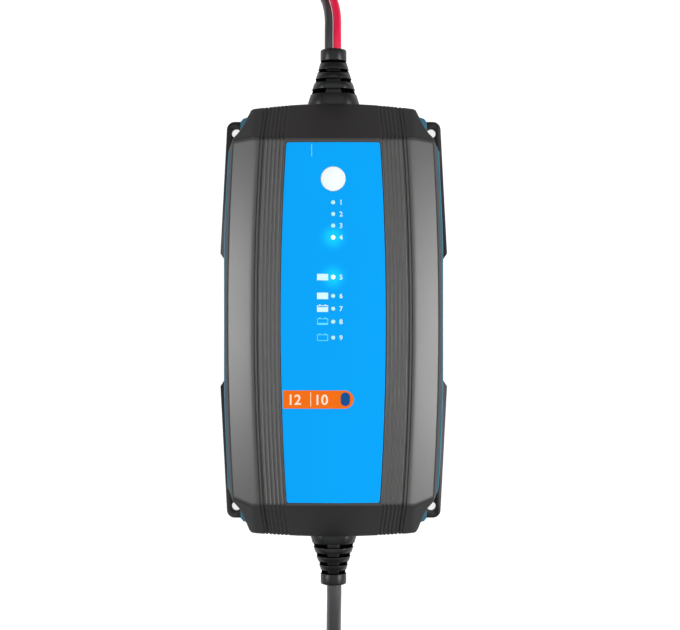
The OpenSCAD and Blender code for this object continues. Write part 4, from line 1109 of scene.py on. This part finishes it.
def relief(name, end, way, cone, slots, bridge):
    """A strain relief: a cone with slots across its front and back, cut flat above and below.

    The cone runs from the casing to the collar in (distance from the outer end, radius). A slot is
    (place nearer the casing, place nearer the end). A bar through the slots,
    bridge = (from, half width, half height, to, half width, half height), ties the blocks.
    """
    places, radii = zip(*cone[::-1])

    def full_size(place, d):
        r = float(np.interp(d, places, radii))
        return place, r, min(r, relief_round_h)

    edges = [d for slot in slots for d in slot]
    stops = [(d, r, min(r, relief_round_h)) for d, r in cone if d not in edges]
    for inner, outer in slots:
        stops += [full_size(inner + slot_lip, inner), full_size(outer - slot_lip, outer)]
        stops += [(d, full_size(d, d)[1] - slot_floor_in, slot_floor_h) for d in (inner, outer)]
    stops.sort(reverse=True)
    body = turned(name, [(end - way * d, w, h) for d, w, h in stops], 0, exit_z)
    edited(body)
    for side in (1, -1):
        bpy.ops.mesh.select_all(action="SELECT")
        bpy.ops.mesh.bisect(
            plane_co=(0, 0, (exit_z + side * relief_half_h) * MM), plane_no=(0, 0, side),
            use_fill=True, clear_outer=True,
        )
    bpy.ops.object.mode_set(mode="OBJECT")
    rounded_edges(body, 0.28)
    d0, w0, h0, d1, w1, h1 = bridge
    bar = primitive(
        bpy.ops.mesh.primitive_cube_add, (0, end - way * (d0 + d1) / 2, exit_z),
        size=MM, scale=(2 * w0, d0 - d1, 2 * h0),
    )
    edited(bar)
    outer_y = end - way * d1
    pick_faces(bar, lambda p, n: abs(p.y - outer_y) < 0.01)
    bpy.ops.transform.resize(value=(w1 / w0, 1, h1 / h0), center_override=(0, outer_y * MM, exit_z * MM))
    bpy.ops.object.mode_set(mode="OBJECT")
    rounded_edges(bar, 1.3, 4, 60)
    body = finish(joined(name, [body, bar]), "black_abs", material=relief_rubber)
    body.data.materials.append(slot_rubber)
    # Painted shade: faces that point along Y, and the slot floors, take the nearly black slot material
    for face in body.data.polygons:
        in_slot = abs(face.center.z / MM - exit_z) < slot_floor_h + 0.1
        if abs(face.normal.y) > 0.7 or (in_slot and abs(face.normal.z) > 0.4):
            face.material_index = 1
    return body


dc_relief = relief(
    "dc_relief", dc_end, 1,
    [(26.3, 10.5), (24.4, 11.6), (19.9, 10.2), (10.6, 7.2), (6.1, 6.0), (5.1, 5.8), (0.5, 5.8), (0, 5.4)],
    [(19.9, 17.9), (14.9, 13.3), (10.7, 9.1), (6.2, 5.1)],
    (24, 3.7, 6.3, 5.0, 2.9, 4.3),
)
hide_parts("dc_strain_relief")
mains_relief = relief(
    "mains_relief", mains_end, -1,
    [(23.5, 9.6), (21.9, 10.4), (18.3, 9.4), (12.5, 7.6), (8.7, 6.4), (6.4, 5.7), (0.4, 5.7), (0, 5.4)],
    [(18.3, 16.6), (14.2, 12.5), (10.3, 8.7), (6.4, 4.8)],
    (21, 2.9, 6.1, 4.2, 2.5, 4.2),
)
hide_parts("mains_strain_relief")


# ---- Back shell and seal ----
seal_low, seal_high = (np.array(corner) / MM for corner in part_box("seal_ring"))
seal_side = seal_high[0]
seal_end = seal_high[1]
seal_lip = 0.8
seal_neck_x = 41.8
seal_band_w = 6.0

# How the seal's sides follow the cover's: widened in proportion, then moved out
seal_side_scale, seal_side_out = 1.031, 0.67

# Places from the neck's line outward and from the seal's end inward, round one corner
seal_corner = [(-7.6, 0), (-5.6, 0.9), (-3.8, 2.7), (-1.1, 3.6), (0, 5.0), (0, 9.5), (4.8, 16.4)]

# The shell's corners, tucked in with the seal's: from (x, y) to (x, y)
shell_corners = [((41.0, 90.0), (40.9, 87.0)), ((38.5, 93.5), (36.4, 93.1))]
corner_reach = 0.6


def corners_tucked(work):
    """Moves the vertices at the back shell's corners."""
    for vertex in work.verts:
        x, y = abs(vertex.co.x) / MM, abs(vertex.co.y) / MM
        for (from_x, from_y), (to_x, to_y) in shell_corners:
            if abs(x - from_x) < corner_reach and abs(y - from_y) < corner_reach:
                vertex.co.x *= to_x / x
                vertex.co.y *= to_y / y


def seal_outline():
    """Outline of the seal: it follows the cover's sides, and its corners tuck in under the cover's."""
    quarter = [(0.0, seal_end)] + [(seal_neck_x + out, seal_end - down) for out, down in seal_corner]
    for y in np.linspace(shoulder_y - 1, 0, 24):
        side = float(on_arc(cover_w / 2, y)) * seal_side_scale + seal_side_out
        quarter.append((min(seal_side + seal_lip, side), float(y)))
    half = quarter + [(x, -y) for x, y in reversed(quarter[:-1])]
    return half[::-1] + [(-x, y) for x, y in half[1:-1]]


def seal_piece():
    """A band of rectangular section inside the seal's outline."""
    outline = np.array(seal_outline())
    count = len(outline)
    inner = outline * (1 - seal_band_w / np.hypot(*outline.T))[:, None]
    low, high = seal_low[2], seal_high[2]
    rings = [(outline, low), (outline, high), (inner, high), (inner, low)]
    vertices = [(x, y, z) for ring, z in rings for x, y in ring]
    faces = []
    for k in range(4):
        for i in range(count):
            n = (i + 1) % count
            m = (k + 1) % 4
            faces.append((k * count + i, k * count + n, m * count + n, m * count + i))
    piece = mesh_piece("seal_band", vertices, faces)
    remade(piece.data)
    return rounded_edges(piece, 0.4, 3, 50)


finish(rounded_copy("back_shell", "back_case", 0.5, changes=[corners_tucked]), "black_abs")
seal = finish(seal_piece(), "teal_silicone")
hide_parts("seal_ring")
finish(rounded_copy("mode_button", "mode_key_cap", 0.35, 3), "white_key", "mode_key")
finish(rounded_copy("cover_screws", "cover_screw_heads", 0.15), "screw_steel")


# ---- Battery clamps ----
rib_n = 8
rib_pitch = 2.3
rib_r = 0.7
rib_l = 13
first_rib = 3.4
rib_sink = 0.2
handle_foot = np.array((20.5, -44.0))
handle_top = np.array((13.2, -22.0))
spring_wire = 1
spring_r = 3.6
spring_turns = 3
spring_steps = 24
spring_pitch = spring_wire + 0.42
spring_leg = (-5, -2)


def grip_ribs(name, clamp_x, side):
    """Round ribs across the back of a handle: one is made, and copied along it. side is -1 on the left."""
    along = unit(handle_top - handle_foot)
    first = handle_foot + first_rib * along - rib_sink * np.array((along[1], -along[0]))
    rib = primitive(
        bpy.ops.mesh.primitive_cylinder_add, (clamp_x + side * first[0], clamp_y + first[1], clamp_mid_z),
        vertices=20, radius=rib_r * MM, depth=rib_l * MM,
    )
    rib.name = rib.data.name = name
    rounded_edges(rib, 0.45, 3, 50)
    ribs = [rib]
    for i in range(1, rib_n):
        copy = linked(name, rib.data.copy())
        copy.data.transform(Matrix.Translation(Vector((side * along[0], along[1], 0)) * i * rib_pitch * MM))
        ribs.append(copy)
    return ribs


def spring_line(clamp_x):
    """The wire of the torsion spring round a clamp's pin, from its leg up through its turns."""
    start_z = clamp_mid_z - spring_pitch * spring_turns / 2
    points = [(clamp_x + spring_r, clamp_y + y, start_z) for y in spring_leg]
    for i in range(spring_steps * spring_turns + 1):
        a = 2 * pi * i / spring_steps
        z = start_z + spring_pitch * i / spring_steps
        points.append((clamp_x + spring_r * cos(a), clamp_y + spring_r * sin(a), z))
    return np.array(points)


def clamp(side, clamp_x, slot):
    """Both arms of a battery clamp with their ribs, contacts, pin and spring."""
    pieces = []
    for node, way, body in (("clamp_body", -1, "housing"), ("clamp_lever", 1, side + "_lever")):
        arm = rounded_copy(f"{side}_{node}", f"{side}_{node}_arm", 0.9, 3)
        ribs = grip_ribs(f"{side}_{node}_rib", clamp_x, way)
        pieces.append(finish(joined(arm.name, [arm, *ribs]), slot, body))
    for node, body in (("body_contact", "housing"), ("lever_contact", side + "_lever")):
        contact = rounded_copy(f"{side}_{node}", f"{side}_{node}_strip", 0.08)
        pieces.append(finish(contact, "contact_copper", body))
    pin = rounded_copy(f"{side}_clamp_pin", f"{side}_clamp_rivet", 0.6, 4)
    pieces.append(finish(pin, "pin_steel"))
    spring = cord_curve(f"{side}_spring_wire", spring_line(clamp_x), spring_wire)
    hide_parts(f"{side}_clamp_spring")
    pieces.append(finish(spring, "spring_steel"))
    return pieces


black_clamp = clamp("black", -clamp_pitch / 2, "clamp_black")
red_clamp = clamp("red", clamp_pitch / 2, "clamp_red")


# ---- Plug ----
neck_rings = 4
neck_ring_pitch = 2.3
neck_ring_l = 1.2


def plug_neck():
    """Rings of the plug's bend relief, drawn out through (distance from the rear, radius)."""
    profile = [(0.5, 4.0)]
    for i in range(neck_rings):
        foot = 0.9 + neck_ring_pitch * i
        top = foot + neck_ring_l
        r = 6.1 + 0.22 * i
        profile += [(foot, 5.0), (foot + 0.01, r), (top, r), (top + 0.01, 5.2)]
    profile.append((9.8, 5.2))
    neck = turned("plug_neck", [(plug_rear_y - d, r, r) for d, r in profile], plug_x, plug_z, 48)
    return rounded_edges(neck, 0.3)


plug_shell = rounded_copy("plug_body", "plug_shell", 0.5, 3, 25)
plug = finish(joined("plug_shell", [plug_shell, plug_neck()]), "plug_black")
plug_pins = finish(rounded_copy("plug_pins", "plug_pin_pair", 0.4, 3), "pin_steel")
plug_earth = finish(rounded_copy("plug_earth_contacts", "plug_earth_strips", 0.25), "earth_brass")


# ---- Ties round the coils ----
tie_head = (3.2, 7.6, 5.4)
tie_head_r = 0.5
tie_slot_rim = 1.5
tie_slot_depth = 0.8


def tie(node, name, x, y, z):
    """A coil's strap, with the square head that locks it on its outer side."""
    strap = rounded_copy(node, name, 0.25)
    head = primitive(bpy.ops.mesh.primitive_cube_add, (x, y, z), size=MM, scale=tie_head)
    edited(head)
    pick_faces(head, lambda p, n: n.x > 0.9)
    bpy.ops.mesh.inset(thickness=tie_slot_rim * MM)
    bpy.ops.mesh.extrude_region_move(TRANSFORM_OT_translate={"value": (-tie_slot_depth * MM, 0, 0)})
    bpy.ops.object.mode_set(mode="OBJECT")
    rounded_edges(head, tie_head_r, 3)
    return finish(joined(name, [strap, head]), "tie_black")


dc_tie_high = np.array(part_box("dc_coil_tie")[1]) / MM
dc_tie = tie("dc_coil_tie", "battery_lead_tie", dc_tie_high[0] + 1.2, dc_coil_y, dc_tie_high[2] * 0.5)
mains_tie_high = np.array(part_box("mains_coil_tie")[1]) / MM
mains_tie = tie(
    "mains_coil_tie", "mains_lead_tie", mains_tie_high[0] + 0.9, mains_coil_y, mains_tie_high[2] * 0.45
)


# ---- Cords made ----
black_wire = finish(cord_curve("black_wire", black_line, wire_d), "wire_black")
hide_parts("dc_lead_black", "dc_coil_black", "clamp_lead_black")
red_wire = finish(cord_curve("red_wire", red_line, wire_d), "wire_red")
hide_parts("dc_lead_red", "dc_coil_red", "clamp_lead_red")
mains_cable = finish(cord_curve("mains_cable", mains_line, mains_d), "cable_grey")
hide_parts("mains_lead", "mains_coil", "plug_lead")


# ---- CAD nodes whose shape is right ----
for part in frame["record"]["subparts"]:
    carried = frame["nodes"][part["node"]]
    carried.data.materials.clear()
    carried.data.materials.append(MATERIALS[part["material_slot"]])


# ---- Floor and light ----
floor_reach = 4000
floor_white = 0.8


def floor_material():
    """Plain white floor, with the object's soft shadow. The light on the object comes off a pale grey."""
    made = bpy.data.materials.new("floor_white")
    made.use_nodes = True
    tree = made.node_tree
    tree.nodes.clear()
    lit = add(tree, "ShaderNodeBsdfDiffuse", {"Color": (0.5, 0.5, 0.5, 1)}).outputs[0]
    white = add(tree, "ShaderNodeEmission", {"Color": (1, 1, 1, 1), "Strength": floor_white}).outputs[0]
    seen = add(tree, "ShaderNodeAddShader", {0: lit, 1: white}).outputs[0]
    path = add(tree, "ShaderNodeLightPath")
    direct = path.outputs["Is Camera Ray"]
    for ray in ("Is Glossy Ray", "Is Transmission Ray"):
        direct = calculated(tree, "MAXIMUM", direct, path.outputs[ray])
    mix = add(tree, "ShaderNodeMixShader", {0: direct, 1: lit, 2: seen}).outputs[0]
    add(tree, "ShaderNodeOutputMaterial", {"Surface": mix})
    return made


floor_corners = [(x * floor_reach, y * floor_reach, 0) for x, y in ((-1, -1), (1, -1), (1, 1), (-1, 1))]
floor = mesh_piece("floor", floor_corners, [(0, 1, 2, 3)])
floor.location.z = -0.0002
floor.data.materials.append(floor_material())


def soft_box(name, place, target, size, power):
    """A rectangular studio light at a place in metres, facing its target."""
    data = bpy.data.lights.new(name, "AREA")
    data.shape = "RECTANGLE"
    data.size, data.size_y = size
    data.energy = power
    lamp = linked(name, data)
    lamp.location = place
    lamp.rotation_euler = (Vector(target) - Vector(place)).to_track_quat("-Z", "Y").to_euler()


soft_box("left_softbox", (-0.80, 0.0, 0.56), (0, 0, 0.05), (0.22, 0.30), 5.0)
soft_box("right_softbox", (0.80, -0.04, 0.56), (0, 0, 0.05), (0.32, 0.34), 6.8)
soft_box("overhead", (0, 0, 1.5), (0, 0, 0), (1.2, 1.2), 5.5)

world = bpy.data.worlds.new("studio")
world.use_nodes = True
sky = world.node_tree
seen_directly = add(sky, "ShaderNodeLightPath").outputs["Is Camera Ray"]
brightness = spread(sky, seen_directly, 0.12, 1.0)
fill(sky, sky.nodes["Background"], {"Color": (1, 1, 1, 1), "Strength": brightness})
bpy.context.scene.world = world
bpy.context.scene.view_settings.view_transform = "Standard"
